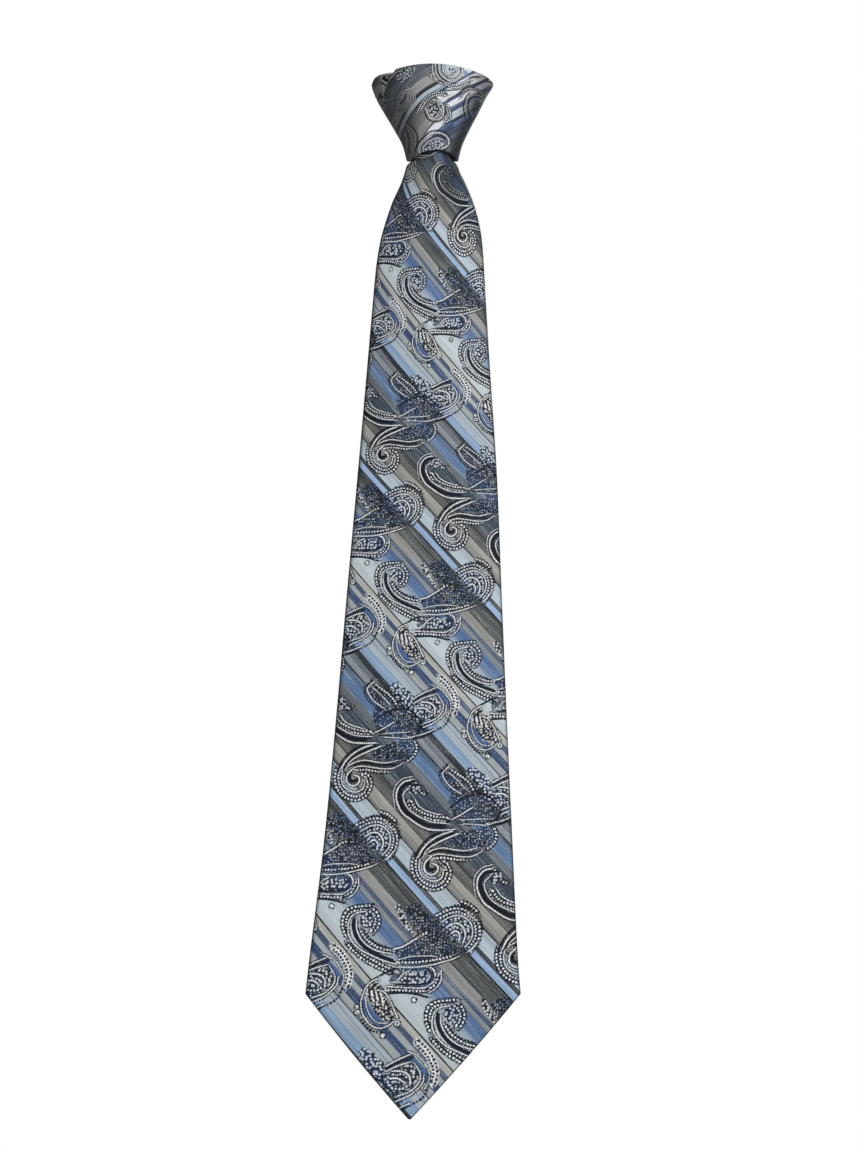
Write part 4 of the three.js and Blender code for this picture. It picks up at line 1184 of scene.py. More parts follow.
def mesh_piece(name, points, faces, materials):
    """A smooth closed mesh at the origin, its faces pointing outwards, from points in mm."""
    mesh = bpy.data.meshes.new(name)
    mesh.from_pydata((points.reshape(-1, 3) * MM).tolist(), [], faces)
    body = bmesh.new()
    body.from_mesh(mesh)
    if body.calc_volume(signed=True) < 0:
        bmesh.ops.reverse_faces(body, faces=body.faces)
    body.to_mesh(mesh)
    body.free()
    mesh.polygons.foreach_set("use_smooth", np.ones(len(mesh.polygons), bool))
    for material in materials:
        mesh.materials.append(material)
    mesh.update()
    piece = bpy.data.objects.new(name, mesh)
    bpy.context.scene.collection.objects.link(piece)
    return piece


def store(piece, name, kind, domain, values):
    """Keeps a vector or a colour for each point or corner of a mesh. Its material reads it by name."""
    attribute = piece.data.attributes.new(name, kind, domain)
    field = {"FLOAT_VECTOR": "vector", "FLOAT_COLOR": "color"}[kind]
    attribute.data.foreach_set(field, values.astype(np.float32).ravel())


# Painting the figure on a mesh


def smooth_line(points):
    """Points every STROKE_STEP along a smooth curve through the charted ones."""
    given = np.array(points, float)
    padded = np.vstack([2 * given[0] - given[1], given, 2 * given[-1] - given[-2]])
    pieces = []
    for a, b, c, d in zip(padded, padded[1:], padded[2:], padded[3:]):
        t = np.linspace(0, 1, max(2, math.ceil(np.linalg.norm(c - b) / STROKE_STEP)) + 1)[:-1, None]
        pieces.append(
            b
            + t * (c - a) / 2
            + t**2 * (a - 2.5 * b + 2 * c - d / 2)
            + t**3 * (1.5 * (b - c) + (d - a) / 2)
        )
    return np.vstack([*pieces, given[-1:]])


def ring_line(centre, radius):
    turn = np.linspace(0, 2 * np.pi, max(RING_LEAST, round(RING_STEPS * radius)) + 1)
    return np.stack([centre[0] + radius * np.cos(turn), centre[1] + radius * np.sin(turn)], axis=1)


def figure_strokes(figure):
    """Every stroke of a figure as points, its thread's row and the layer it is painted in. Fine
    strokes that stand next to each other in the chart go to different layers."""
    rows = {row["kind"]: THREAD | row for row in THREADS}
    strokes = []
    for motif in figure.values():
        for number, (kind, *shape) in enumerate(motif):
            line = ring_line(*shape) if kind == "ring" else smooth_line(shape[0])
            layer = 0 if kind in WIDE_THREADS else 1 + number % (LAYERS - 1)
            strokes.append((line, rows[kind], layer))
    return strokes


def lattice_shifts(lattice):
    """The steps from a motif to those of its repeats that can reach the lattice's first cell."""
    if lattice is None:
        return [np.zeros(2)]
    i_reach, j_reach = LATTICE_REACH
    steps = [(i, j) for i in range(-i_reach, i_reach + 1) for j in range(-j_reach, j_reach + 1)]
    return [lattice @ step for step in steps]


def from_first_cell(places, lattice):
    """The step from the lattice's first cell to the cell that each place lies in."""
    if lattice is None:
        return np.zeros_like(places)
    return np.floor(np.linalg.solve(lattice, places.T)).T @ lattice.T


class StrokeField:
    """The strokes of one layer, repeated over the lattice, ready to be found from a place."""

    def __init__(self, strokes, lattice):
        places, lengths, owners, threads = [], [], [], []
        for line, thread, _ in strokes:
            steps = np.linalg.norm(np.diff(line, axis=0), axis=1)
            length = np.concatenate([[0], np.cumsum(steps)])
            for shift in lattice_shifts(lattice):
                moved = line + shift
                if lattice is not None and not self.near_cell(moved, lattice).any():
                    continue
                places.append(moved)
                lengths.append(length)
                owners.append(np.full(len(line), len(threads)))
                threads.append(thread)
        self.places, self.lengths = np.vstack(places), np.concatenate(lengths)
        self.owners, self.threads = np.concatenate(owners), threads
        self.tree = kdtree.KDTree(len(self.places))
        for i, (x, y) in enumerate(self.places):
            self.tree.insert((x, y, 0), i)
        self.tree.balance()

    @staticmethod
    def near_cell(line, lattice):
        """Which points of a line lie in the lattice's first cell or within reach of it."""
        cell = np.linalg.solve(lattice, line.T)
        margin = CELL_MARGIN * REACH / np.linalg.norm(lattice, axis=0)[:, None]
        return np.all((cell > -margin) & (cell < 1 + margin), axis=0)

    def nearest(self, places):
        """The stroke point nearest to each place, or -1 where none is within reach."""
        found = np.full(len(places), -1)
        for i, (x, y) in enumerate(places):
            _, index, distance = self.tree.find((x, y, 0))
            if distance < REACH:
                found[i] = index
        return found

    def follow(self, found, corners):
        """How far along the found stroke, and to which side of it, each corner of a face lies."""
        best = np.full(corners.shape[:2], FAR)
        along, aside = np.zeros_like(best), np.zeros_like(best)
        last = len(self.places) - 1
        for offset in range(-FOLLOWED, FOLLOWED):
            start = np.clip(found + offset, 0, last - 1)
            joined = (self.owners[start] == self.owners[found]) & (
                self.owners[start + 1] == self.owners[found]
            )
            a, b = self.places[start][:, None], self.places[start + 1][:, None]
            run = b - a
            span = np.maximum(np.linalg.norm(run, axis=2), 1e-6)
            t = np.clip(((corners - a) * run).sum(2) / span**2, 0, 1)
            gap = corners - a - t[..., None] * run
            distance = np.linalg.norm(gap, axis=2)
            nearer = joined[:, None] & (distance < best)
            side = np.sign(run[..., 0] * gap[..., 1] - run[..., 1] * gap[..., 0])
            best = np.where(nearer, distance, best)
            along = np.where(nearer, self.lengths[start][:, None] + t * span, along)
            aside = np.where(nearer, side * distance, aside)
        return along, aside


def quad_corners(mesh):
    """The corners of a mesh's four-sided faces, and the point at each of them."""
    sides = np.zeros(len(mesh.polygons), int)
    starts = np.zeros(len(mesh.polygons), int)
    points = np.zeros(len(mesh.loops), int)
    mesh.polygons.foreach_get("loop_total", sides)
    mesh.polygons.foreach_get("loop_start", starts)
    mesh.loops.foreach_get("vertex_index", points)
    loops = starts[sides == 4][:, None] + np.arange(4)
    return loops, points[loops]


def paint_figure(piece, chart, figure, lattice, fineness):
    """Stores on each face corner how the nearest stroke of each layer runs past it. The material
    draws the threads from that."""
    loops, points = quad_corners(piece.data)
    corners = chart[points]
    centres = corners.mean(axis=1)
    home = from_first_cell(centres, lattice)
    centres = centres - home
    corners = corners - home[:, None]
    strokes = figure_strokes(figure)
    loop_count = len(piece.data.loops)
    for layer in range(LAYERS):
        field = StrokeField([stroke for stroke in strokes if stroke[2] == layer], lattice)
        found = field.nearest(centres)
        met = found >= 0
        along, aside = field.follow(found[met], corners[met])
        kinds = [field.threads[owner] for owner in field.owners[found[met]]]
        ink = np.array([1 if kind["ink"] == "pale" else -1 for kind in kinds])
        spacing = np.array([kind["spacing"] for kind in kinds]) * ink / fineness
        spacing = np.broadcast_to(spacing[:, None], along.shape)
        trace = np.tile(np.array(NO_STROKE), (loop_count, 1))
        trace[loops[met]] = np.stack([along, aside, spacing], axis=2)
        columns = ("ground", "line", "dot", "offset")
        widths = np.array([[kind[column] for column in columns] for kind in kinds]) / fineness
        thread = np.zeros((loop_count, len(columns)))
        thread[loops[met]] = widths[:, None]
        store(piece, f"trace_{layer}", "FLOAT_VECTOR", "CORNER", trace)
        store(piece, f"thread_{layer}", "FLOAT_COLOR", "CORNER", thread)


def inside_distance(places, outline):
    """How deep each place lies inside a charted outline, negative outside."""
    ends = np.array(outline, float)
    starts = np.roll(ends, 1, axis=0)
    best = np.full(len(places), FAR)
    inside = np.zeros(len(places), bool)
    for a, b in zip(starts, ends):
        run = b - a
        t = np.clip(((places - a) @ run) / (run @ run), 0, 1)
        best = np.minimum(best, np.linalg.norm(places - a - t[:, None] * run, axis=1))
        crosses = (a[1] > places[:, 1]) != (b[1] > places[:, 1])
        rise = run[1] if run[1] else 1.0
        inside ^= crosses & (places[:, 0] < a[0] + run[0] * (places[:, 1] - a[1]) / rise)
    return np.where(inside, best, -best)


def paint_patches(piece, chart, patches, lattice):
    """Stores at each point how deep it lies inside the nearest patch of each weave."""
    places = chart - from_first_cell(chart, lattice)
    depth = np.full((len(places), len(PATCH_WEAVES)), -PATCH_REACH)
    for patch in patches:
        outline = np.array(patch["outline"], float)
        channel = PATCH_WEAVES.index(patch["weave"])
        for shift in lattice_shifts(lattice):
            low = outline.min(axis=0) + shift - PATCH_REACH
            high = outline.max(axis=0) + shift + PATCH_REACH
            near = np.all((places > low) & (places < high), axis=1)
            if near.any():
                found = inside_distance(places[near] - shift, outline)
                depth[near, channel] = np.maximum(depth[near, channel], found)
    store(piece, "patches", "FLOAT_COLOR", "POINT", depth)


def lay_silk(piece, chart, stripe, shade, figure, patches, lattice=None, fineness=1.0):
    """Stores the silk's chart and stripes on a mesh, its painted shade, and its figure."""
    across, down = chart
    scaled = [across * fineness, down * fineness, np.zeros_like(across)]
    store(piece, "chart", "FLOAT_VECTOR", "POINT", np.stack(scaled, axis=1))
    # The painted shade rides with the stripes as their third value.
    store(piece, "stripe", "FLOAT_VECTOR", "POINT", np.stack([*stripe, shade], axis=1))
    places = np.stack([across, down], axis=1)
    paint_patches(piece, places, patches, lattice)
    paint_figure(piece, places, figure, lattice, fineness)


# Shading


class Shader:
    """Short forms for placing and linking the nodes of one tree."""

    def __init__(self, tree):
        self.tree = tree

    def node(self, kind, **settings):
        node = self.tree.nodes.new(kind)
        for key, value in settings.items():
            setattr(node, key, value)
        return node

    def link(self, source, target):
        self.tree.links.new(source, target)

    def put(self, value, target):
        if isinstance(value, bpy.types.NodeSocket):
            self.link(value, target)
        else:
            target.default_value = value

    def math(self, operation, *values):
        node = self.node("ShaderNodeMath", operation=operation)
        for value, target in zip(values, node.inputs):
            self.put(value, target)
        return node.outputs[0]

    def mix(self, a, b, factor):
        node = self.node("ShaderNodeMix", data_type="RGBA")
        self.put(factor, node.inputs["Factor"])
        self.put(a, node.inputs["A"])
        self.put(b, node.inputs["B"])
        return node.outputs["Result"]

    def clamped(self, value):
        node = self.node("ShaderNodeClamp")
        self.link(value, node.inputs[0])
        return node.outputs[0]

    def noise(self, place, scale, detail):
        node = self.node("ShaderNodeTexNoise", noise_dimensions="2D")
        node.inputs["Scale"].default_value = scale
        node.inputs["Detail"].default_value = detail
        self.link(place, node.inputs["Vector"])
        return node.outputs

    def attribute(self, name):
        return self.node("ShaderNodeAttribute", attribute_name=name)

    def split(self, vector):
        node = self.node("ShaderNodeSeparateXYZ")
        self.link(vector, node.inputs[0])
        return node.outputs


def node_group(name, inputs, outputs):
    """An empty group with named sockets: its shader, its inputs and its output node's sockets."""
    tree = bpy.data.node_groups.new(name, "ShaderNodeTree")
    for label, kind in inputs.items():
        tree.interface.new_socket(label, in_out="INPUT", socket_type=f"NodeSocket{kind}")
    for label, kind in outputs.items():
        tree.interface.new_socket(label, in_out="OUTPUT", socket_type=f"NodeSocket{kind}")
    shader = Shader(tree)
    return shader, shader.node("NodeGroupInput").outputs, shader.node("NodeGroupOutput").inputs


def use_group(shader, tree, **values):
    """A copy of a group in a tree, with its inputs set or linked, and its outputs."""
    node = shader.node("ShaderNodeGroup", node_tree=tree)
    for label, value in values.items():
        shader.put(value, node.inputs[label])
    return node.outputs


def cover(shader, edge, distance, softness):
    """1 where a distance is less than an edge, 0 beyond it, with a soft step between."""
    step = shader.math("DIVIDE", shader.math("SUBTRACT", edge, distance), softness)
    return shader.clamped(shader.math("ADD", step, 0.5))


def drawn(shader, width, mask):
    """A mask, or nothing where the thread has no such part."""
    return shader.math("MULTIPLY", mask, shader.math("GREATER_THAN", width, NO_WIDTH))


def thread_group():
    """Draws one layer's nearest stroke over the cloth: its ground, then its line or dots. Dots
    with an offset stand in two rows, one to each side of the stroke, and take turns."""
    shader, given, out = node_group(
        "figure_thread",
        {
            "Cloth": "Color",
            "Trace": "Vector",
            "Widths": "Vector",
            "Offset": "Float",
            "Sway": "Vector",
            "Dark": "Color",
            "Pale": "Color",
            "Raised": "Float",
        },
        {"Cloth": "Color", "Raised": "Float"},
    )
    along, aside, spacing = shader.split(given["Trace"])
    ground, line, dot = shader.split(given["Widths"])
    sway_along, sway_aside, swell = shader.split(given["Sway"])
    distance = shader.math("ABSOLUTE", aside)
    pitch = shader.math("ABSOLUTE", spacing)
    is_pale = shader.math("GREATER_THAN", spacing, 0.0)
    two_rows = shader.math("GREATER_THAN", given["Offset"], NO_WIDTH)
    stagger = shader.math("MULTIPLY", shader.math("SIGN", aside), two_rows)
    stagger = shader.math("MULTIPLY", stagger, shader.math("DIVIDE", pitch, 4.0))
    half = shader.math("DIVIDE", pitch, 2.0)
    place = shader.math("MULTIPLY_ADD", sway_along, DOT_SWAY, shader.math("ADD", along, stagger))
    cell = shader.math("WRAP", place, half, shader.math("MULTIPLY", half, -1.0))
    row = shader.math("SUBTRACT", distance, given["Offset"])
    row = shader.math("MULTIPLY_ADD", sway_aside, DOT_SWAY, row)
    squares = shader.math("ADD", shader.math("MULTIPLY", cell, cell), shader.math("MULTIPLY", row, row))
    radius = shader.math("MULTIPLY", dot, shader.math("MULTIPLY_ADD", swell, DOT_SWELL, 1.0))
    dots = drawn(shader, dot, cover(shader, radius, shader.math("SQRT", squares), DOT_SOFTNESS))
    ripple = shader.math("SINE", shader.math("MULTIPLY", along, 2 * math.pi / LINE_STITCH))
    edge = shader.math("MULTIPLY_ADD", ripple, LINE_RIPPLE, line)
    edge = shader.math("MULTIPLY_ADD", swell, LINE_SWELL, edge)
    lines = drawn(shader, line, cover(shader, edge, distance, LINE_SOFTNESS))
    fringe = shader.math("MULTIPLY_ADD", sway_aside, GROUND_FRAY, ground)
    grounds = drawn(shader, ground, cover(shader, fringe, distance, GROUND_SOFTNESS))
    mark = shader.math("MAXIMUM", dots, lines)
    ground_yarn = shader.mix(given["Pale"], given["Dark"], is_pale)
    mark_yarn = shader.mix(given["Dark"], given["Pale"], is_pale)
    laid = shader.mix(given["Cloth"], ground_yarn, grounds)
    shader.link(shader.mix(laid, mark_yarn, mark), out["Cloth"])
    pale_mark = shader.math("MULTIPLY", mark, is_pale)
    shader.link(shader.math("MAXIMUM", given["Raised"], pale_mark), out["Raised"])
    return shader.tree


def patch_group():
    """Lays the patches of the figure over the cloth, with their dots."""
    shader, given, out = node_group(
        "figure_patches",
        {
            "Cloth": "Color",
            "Chart": "Vector",
            "Depths": "Vector",
            "Blue Depth": "Float",
            "Dark": "Color",
            "Pale": "Color",
        },
        {"Cloth": "Color", "Raised": "Float"},
    )
    colour = given["Cloth"]
    raised = 0.0
    outside = shader.math("MULTIPLY", given["Blue Depth"], -1.0)
    inside = cover(shader, 0.0, outside, BLUE_PATCH["softness"])
    inside = shader.math("MULTIPLY", inside, BLUE_PATCH["cover"])
    colour = shader.mix(colour, linear(BLUE_PATCH["colour"]), inside)
    for row, depth in zip(DOTTED_WEAVES, shader.split(given["Depths"])):
        cells = shader.node("ShaderNodeTexVoronoi", voronoi_dimensions="2D", feature="F1")
        cells.inputs["Scale"].default_value = 1 / row["pitch"]
        cells.inputs["Randomness"].default_value = PATCH_SCATTER
        shader.link(given["Chart"], cells.inputs["Vector"])
        chance, tint, _ = shader.split(cells.outputs["Color"])
        frayed = shader.math("SUBTRACT", depth, PATCH_FRAY / 2)
        frayed = shader.math("MULTIPLY_ADD", chance, PATCH_FRAY, frayed)
        inside = cover(shader, 0.0, shader.math("MULTIPLY", frayed, -1.0), PATCH_SOFTNESS)
        dots = cover(shader, row["radius"], cells.outputs["Distance"], PATCH_DOT_SOFTNESS)
        dots = shader.math("MULTIPLY", dots, shader.math("GREATER_THAN", chance, row["bare"]))
        mixed = shader.math("MULTIPLY_ADD", tint, row["share"], row["share"] / 5)
        yarn = shader.mix(given["Pale"], linear(row["second"]), shader.clamped(mixed))
        covered = shader.math("MULTIPLY", inside, row["ground"])
        under = shader.mix(colour, given["Dark"], covered)
        mark = shader.math("MULTIPLY", dots, inside)
        colour = shader.mix(under, yarn, shader.math("MULTIPLY", mark, PATCH_DOT_COVER))
        raised = shader.math("MAXIMUM", raised, mark)
    shader.link(colour, out["Cloth"])
    shader.link(raised, out["Raised"])
    return shader.tree


def yarn_group():
    """Fine streaks along the stripes, from the thread to thread changes of the yarn."""
    shader, given, out = node_group(
        "streaked_yarn",
        {"Cloth": "Color", "Stripe": "Vector", "Strength": "Float"},
        {"Cloth": "Color"},
    )
    across, along, _ = shader.split(given["Stripe"])
    streaks = []
    for row in STREAKS:
        place = shader.node("ShaderNodeCombineXYZ")
        shader.link(shader.math("MULTIPLY", across, row["across"]), place.inputs[0])
        shader.link(shader.math("MULTIPLY", along, row["along"]), place.inputs[1])
        noise = shader.noise(place.outputs[0], 1.0, STREAK_DETAIL)
        streaks.append(shader.math("SUBTRACT", noise["Fac"], 0.5))
    grain = shader.noise(given["Stripe"], GRAIN, 1.0)["Fac"]
    grain = shader.math("MULTIPLY_ADD", grain, GRAIN_STRENGTH, -GRAIN_STRENGTH / 2)
    total = shader.math("ADD", shader.math("ADD", *streaks), grain)
    total = shader.math("MULTIPLY", total, given["Strength"])
    lighter = shader.mix(given["Cloth"], linear(STREAK_LIGHT), shader.clamped(total))
    darker = shader.clamped(shader.math("MULTIPLY", total, -1.0))
    shader.link(shader.mix(lighter, linear(STREAK_DARK), darker), out["Cloth"])
    return shader.tree


def twill_group():
    """The ribs of the weave, as heights."""
    shader, given, out = node_group("twill_ribs", {"Chart": "Vector"}, {"Height": "Float"})
    across, down, _ = shader.split(given["Chart"])
    weft = shader.math("MULTIPLY", across, TWILL_RUN[0])
    weft = shader.math("MULTIPLY_ADD", down, TWILL_RUN[1], weft)
    rib = shader.math("SINE", shader.math("MULTIPLY", weft, 2 * math.pi / TWILL_PITCH))
    shader.link(shader.math("MULTIPLY_ADD", rib, 0.5, 0.5), out["Height"])
    return shader.tree


def stripe_ramp(shader, place, rows, start, end):
    """The yarn colours of the stripes between two places of a table."""
    ramp = shader.node("ShaderNodeValToRGB")
    ramp.color_ramp.interpolation = "CONSTANT"
    rows = [row for row in rows if start <= row["at"] < end]
    stops = ramp.color_ramp.elements
    while len(stops) < len(rows):
        stops.new(1.0)
    for stop, row in zip(stops, rows):
        stop.color = linear(YARN[row["yarn"]])
    for stop, row in reversed(list(zip(stops, rows))):
        stop.position = (row["at"] - start) / (end - start)
    shifted = shader.math("SUBTRACT", place, start)
    shader.link(shader.math("DIVIDE", shifted, end - start), ramp.inputs[0])
    return ramp.outputs["Color"]


def blade_stripes(shader, level, _):
    """The repeated stripes of the blade's silk, and where the figure sinks into them."""
    place = shader.math("WRAP", level, STRIPE_REPEAT, 0.0)
    first = stripe_ramp(shader, place, STRIPES, 0.0, RAMP_SPLIT)
    second = stripe_ramp(shader, place, STRIPES, RAMP_SPLIT, STRIPE_REPEAT)
    cloth = shader.mix(first, second, shader.math("GREATER_THAN", place, RAMP_SPLIT))
    past_start = cover(shader, place, SUNK_FROM, SUNK_START_SOFTNESS)
    before_end = cover(shader, SUNK_TO, place, SUNK_END_SOFTNESS)
    return cloth, shader.math("MINIMUM", past_start, before_end)


def knot_stripes(shader, level, along):
    """The stripes of the knot's silk, which change their yarns to the right."""
    left = stripe_ramp(shader, level, KNOT_STRIPES, *KNOT_RANGE)
    right = stripe_ramp(shader, level, KNOT_RIGHT_STRIPES, *KNOT_RANGE)
    above = shader.math("LESS_THAN", level, KNOT_RIGHT_TOP)
    start = shader.math("MULTIPLY_ADD", above, KNOT_RIGHT_SHIFT, KNOT_RIGHT_FROM)
    return shader.mix(left, right, shader.math("GREATER_THAN", along, start)), 0.0


def sway_and_lustre(shader, chart, looseness):
    """A slow noise over the chart: how the threads sway and swell, and how bright the pale ones
    shine."""
    noise = shader.noise(chart, SWAY_SCALE, 1.0)
    centred = shader.node("ShaderNodeVectorMath", operation="SUBTRACT")
    shader.link(noise["Color"], centred.inputs[0])
    centred.inputs[1].default_value = (0.5, 0.5, 0.5)
    sway = shader.node("ShaderNodeVectorMath", operation="SCALE")
    shader.link(centred.outputs[0], sway.inputs[0])
    sway.inputs["Scale"].default_value = looseness
    lustre = shader.clamped(shader.math("MULTIPLY_ADD", noise["Fac"], *LUSTRE))
    return sway.outputs[0], lustre


def thread_colours(shader, cloth, sunk, lustre):
    """The colours of the dark and the pale threads over the striped cloth."""
    red, _, blue = shader.split(cloth)
    cast = shader.math("MULTIPLY", shader.math("SUBTRACT", blue, red), BLUE_CAST)
    dark = shader.mix(*map(linear, DARK_THREADS), shader.clamped(cast))
    grey = shader.node("ShaderNodeRGBToBW")
    shader.link(cloth, grey.inputs[0])
    light = shader.math("MULTIPLY_ADD", shader.math("SQRT", grey.outputs[0]), *STRIPE_LIGHT)
    light = shader.math("MULTIPLY", shader.clamped(light), lustre)
    pale = shader.mix(*map(linear, PALE_THREADS), light)
    tint = shader.math("MULTIPLY_ADD", blue, *STRIPE_TINT)
    return dark, shader.mix(pale, cloth, shader.math("MULTIPLY_ADD", sunk, SUNK_TINT, tint))


def silk_material(name, groups, stripes, gloss, looseness):
    """Figured silk: striped yarns, then the figure's patches and its threads layer by layer."""
    material = bpy.data.materials.new(name)
    material.use_nodes = True
    shader = Shader(material.node_tree)
    principled = material.node_tree.nodes["Principled BSDF"]
    chart = shader.attribute("chart").outputs["Vector"]
    stripe = shader.attribute("stripe").outputs["Vector"]
    level, along, shade = shader.split(stripe)
    cloth, sunk = stripes(shader, level, along)
    yarn = use_group(shader, groups["yarn"], Cloth=cloth, Stripe=stripe, Strength=YARN_STRENGTH)
    cloth = yarn["Cloth"]
    sway, lustre = sway_and_lustre(shader, chart, looseness)
    dark, pale = thread_colours(shader, cloth, sunk, lustre)
    patches = shader.attribute("patches")
    laid = use_group(
        shader,
        groups["patches"],
        Cloth=cloth,
        Chart=chart,
        Depths=patches.outputs["Color"],
        Dark=dark,
        Pale=pale,
        **{"Blue Depth": patches.outputs["Alpha"]},
    )
    for layer in range(LAYERS):
        thread = shader.attribute(f"thread_{layer}")
        laid = use_group(
            shader,
            groups["thread"],
            Cloth=laid["Cloth"],
            Raised=laid["Raised"],
            Trace=shader.attribute(f"trace_{layer}").outputs["Vector"],
            Widths=thread.outputs["Color"],
            Offset=thread.outputs["Alpha"],
            Sway=sway,
            Dark=dark,
            Pale=pale,
        )
    # Painted shade, kept with the stripes, darkens the finished cloth.
    depth = shader.math("MULTIPLY", shade, SHADE_DEPTH)
    shaded = shader.mix(laid["Cloth"], linear(SHADE_COLOUR), depth)
    shader.link(shaded, principled.inputs["Base Color"])
    ribs = use_group(shader, groups["twill"], Chart=chart)["Height"]
    bump = shader.node("ShaderNodeBump")
    bump.inputs["Strength"].default_value = SILK_BUMP
    bump.inputs["Distance"].default_value = THREAD_RISE * MM
    height = shader.math("MULTIPLY_ADD", ribs, TWILL_RELIEF, laid["Raised"])
    shader.link(height, bump.inputs["Height"])
    shader.link(bump.outputs["Normal"], principled.inputs["Normal"])
    roughness = shader.math("MULTIPLY_ADD", laid["Raised"], -THREAD_SMOOTHNESS, SILK_ROUGHNESS)
    shader.link(roughness, principled.inputs["Roughness"])
    principled.inputs["Specular IOR Level"].default_value = gloss
    for label, value in SILK_SHEEN.items():
        principled.inputs[label].default_value = value
    return material


def plain_material(name, colour, roughness, metallic=0.0):
    material = bpy.data.materials.new(name)
    material.use_nodes = True
    principled = material.node_tree.nodes["Principled BSDF"]
    principled.inputs["Base Color"].default_value = colour
    principled.inputs["Roughness"].default_value = roughness
    principled.inputs["Metallic"].default_value = metallic
    return material


# The pieces


def make_blade(silk, reverse):
    """The folded blade, with the plain reverse of the silk inside it."""
    points, along, shade, outer_count = blade_grid()
    rows, columns = points.shape[:2]
    faces = grid_faces(rows, columns).tolist() + blade_caps(rows, columns, outer_count)
    blade = mesh_piece("silk_blade", points, faces, [silk, reverse])
    column = np.arange(columns)
    hidden = (column >= outer_count) & (column < columns - EDGE_STEPS)
    slots = np.zeros(len(faces), np.int32)
    slots[: (rows - 1) * columns] = np.tile(hidden, rows - 1)
    blade.data.polygons.foreach_set("material_index", slots)
    middle = np.broadcast_to(along[:, BLADE_MIDDLE_COLUMN][:, None], along.shape)
    places = pulled_place(along.ravel(), points[:, :, 2].ravel(), middle.ravel())
    lay_silk(blade, places[:2], places[2:], shade.ravel(), FIGURE, PATCHES, LATTICE)
    return blade


def make_band(silk):
    points = band_grid()
    faces = grid_faces(*points.shape[:2], ring=True).tolist()
    band = mesh_piece("silk_knot_band", points, faces, [silk])
    x, y, z = points.reshape(-1, 3).T
    across = (x + np.sign(x) * np.maximum(0, y - KNOT_CHART_SIDE)) / SQUARE
    down = -z / SQUARE - KNOT_CHART_TOP
    stripes = knot_stripe_place(across, down)
    shade = side_shade(points[:, :, 2]).ravel()
    lay_silk(
        band, (across, down), stripes, shade, KNOT_FIGURE, KNOT_PATCHES, fineness=KNOT_FINENESS
    )
    return band


def make_wrap(silk):
    points = np.stack([*reversed(wrap_rows(0)), *wrap_rows(WRAP_WALL)])
    rows, columns = points.shape[:2]
    faces = grid_faces(rows, columns).tolist()
    faces += [face[::-1] for face in ridge_caps(0, columns)]
    faces += ridge_caps((rows - 1) * columns, columns)
    wrap = mesh_piece("silk_under_wrap", points, faces, [silk])
    x, y, z = points.reshape(-1, 3).T
    across, down = chart_place(x, z + y)
    stripes = blade_stripe_place(across, down)
    shade = np.full_like(across, WRAP_SHADE)
    lay_silk(wrap, (across, down), stripes, shade, FIGURE, PATCHES, LATTICE)
    return wrap


WORLD_LIGHT = 0.2
FLOOR = {"size": 3.0, "height": -0.9, "colour": (0.85, 0.85, 0.85, 1), "roughness": 0.8}
LIGHTS_AIM = (0, 0, -0.2)
LIGHTS = [
    {"name": "key", "place": (0.75, -1.45, 0.45), "size": 0.6, "power": 28},
    {"name": "fill", "place": (-1.2, -1.0, 0.0), "size": 1.2, "power": 1.2},
    {"name": "back", "place": (0.3, 1.6, 0.4), "size": 1.2, "power": 20},
]


def make_camera():
    data = bpy.data.cameras.new("camera")
    data.lens = LENS
    data.sensor_width = SENSOR
    camera = bpy.data.objects.new("camera", data)
    distance = PICTURE_HEIGHT * LENS / SENSOR
    x, z = PICTURE_CENTRE
    camera.location = Vector((x, NECKTIE_PLANE - distance, z)) * MM
    camera.rotation_euler = (math.pi / 2, 0, 0)
    bpy.context.scene.collection.objects.link(camera)
    bpy.context.scene.camera = camera


def make_lights():
    for row in LIGHTS:
        data = bpy.data.lights.new(row["name"], "AREA")
        data.size = row["size"]
        data.energy = row["power"]
        light = bpy.data.objects.new(row["name"], data)
        light.location = row["place"]
        aim = Vector(LIGHTS_AIM) - Vector(row["place"])
        light.rotation_euler = aim.to_track_quat("-Z", "Y").to_euler()
        bpy.context.scene.collection.objects.link(light)


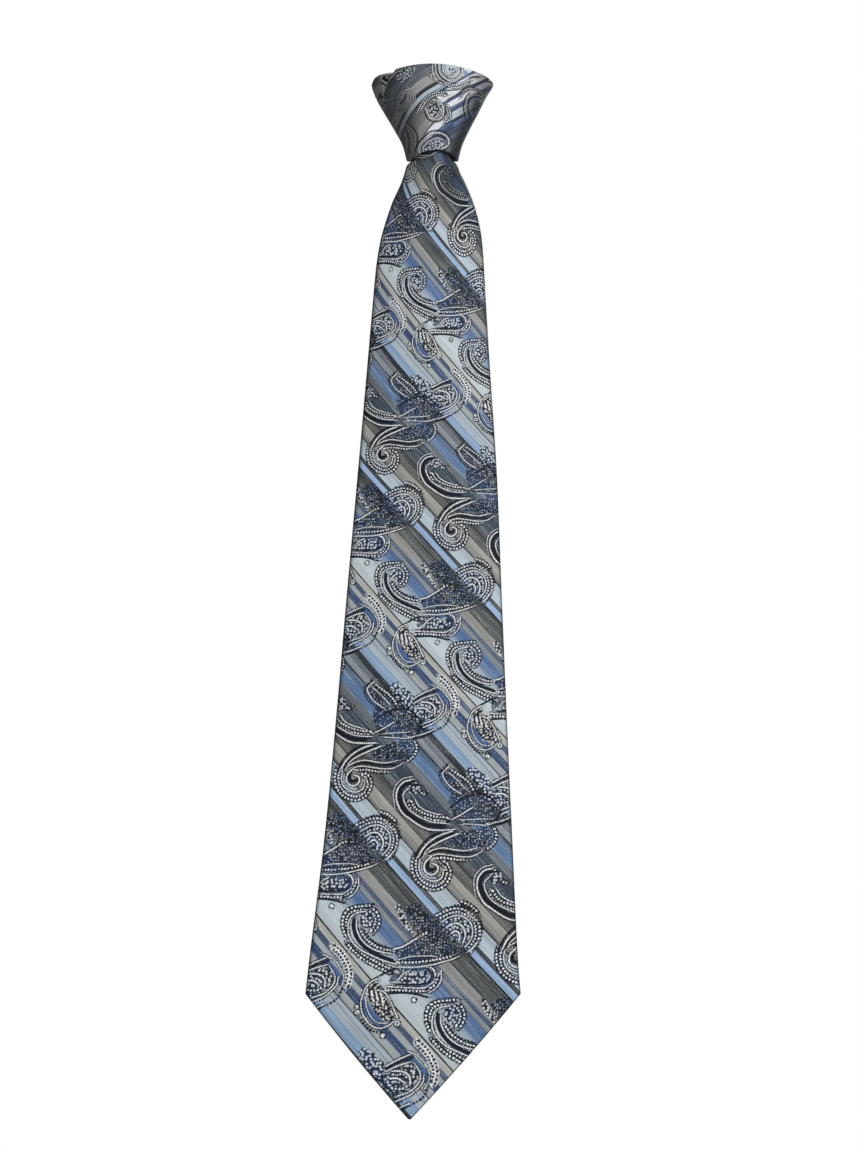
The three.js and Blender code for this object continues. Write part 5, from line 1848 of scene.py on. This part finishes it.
def make_studio():
    """A plain pale floor and a white surround."""
    bpy.ops.mesh.primitive_plane_add(size=FLOOR["size"], location=(0, 0, 0))
    floor = bpy.context.object
    floor.name = "floor"
    floor.data.transform(floor.matrix_world)
    floor.matrix_world.identity()
    for vertex in floor.data.vertices:
        vertex.co.z = FLOOR["height"]
    floor.data.materials.append(plain_material("pale_floor", FLOOR["colour"], FLOOR["roughness"]))

    world = bpy.data.worlds.new("white_surround")
    bpy.context.scene.world = world
    world.use_nodes = True
    shader = Shader(world.node_tree)
    soft = world.node_tree.nodes["Background"]
    soft.inputs["Color"].default_value = (1, 1, 1, 1)
    soft.inputs["Strength"].default_value = WORLD_LIGHT
    white = shader.node("ShaderNodeBackground")
    white.inputs["Color"].default_value = (1, 1, 1, 1)
    white.inputs["Strength"].default_value = 1.0
    seen = shader.node("ShaderNodeLightPath")
    choose = shader.node("ShaderNodeMixShader")
    shader.link(seen.outputs["Is Camera Ray"], choose.inputs[0])
    shader.link(soft.outputs[0], choose.inputs[1])
    shader.link(white.outputs[0], choose.inputs[2])
    shader.link(choose.outputs[0], world.node_tree.nodes["World Output"].inputs[0])


for item in list(bpy.context.selected_objects):
    item.select_set(False)
bpy.context.scene.view_settings.view_transform = "Standard"

make_camera()
groups = {
    "yarn": yarn_group(),
    "patches": patch_group(),
    "thread": thread_group(),
    "twill": twill_group(),
}
silk = silk_material("figured_silk", groups, blade_stripes, **BLADE_SILK)
knot_silk = silk_material("figured_knot_silk", groups, knot_stripes, **KNOT_SILK)
reverse = plain_material("silk_reverse", linear(REVERSE["colour"]), REVERSE["roughness"])
steel = plain_material("spring_steel", linear(STEEL["colour"]), STEEL["roughness"], metallic=1.0)

blade = make_blade(silk, reverse)
band = make_band(knot_silk)
wrap = make_wrap(silk)
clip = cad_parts["collar_clip"]
clip.data.materials.clear()
clip.data.materials.append(steel)
make_studio()
make_lights()

for piece, node in ((blade, "blade"), (band, "knot_front_band"), (wrap, "knot_under_wrap")):
    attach(piece, "root")
    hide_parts(node)
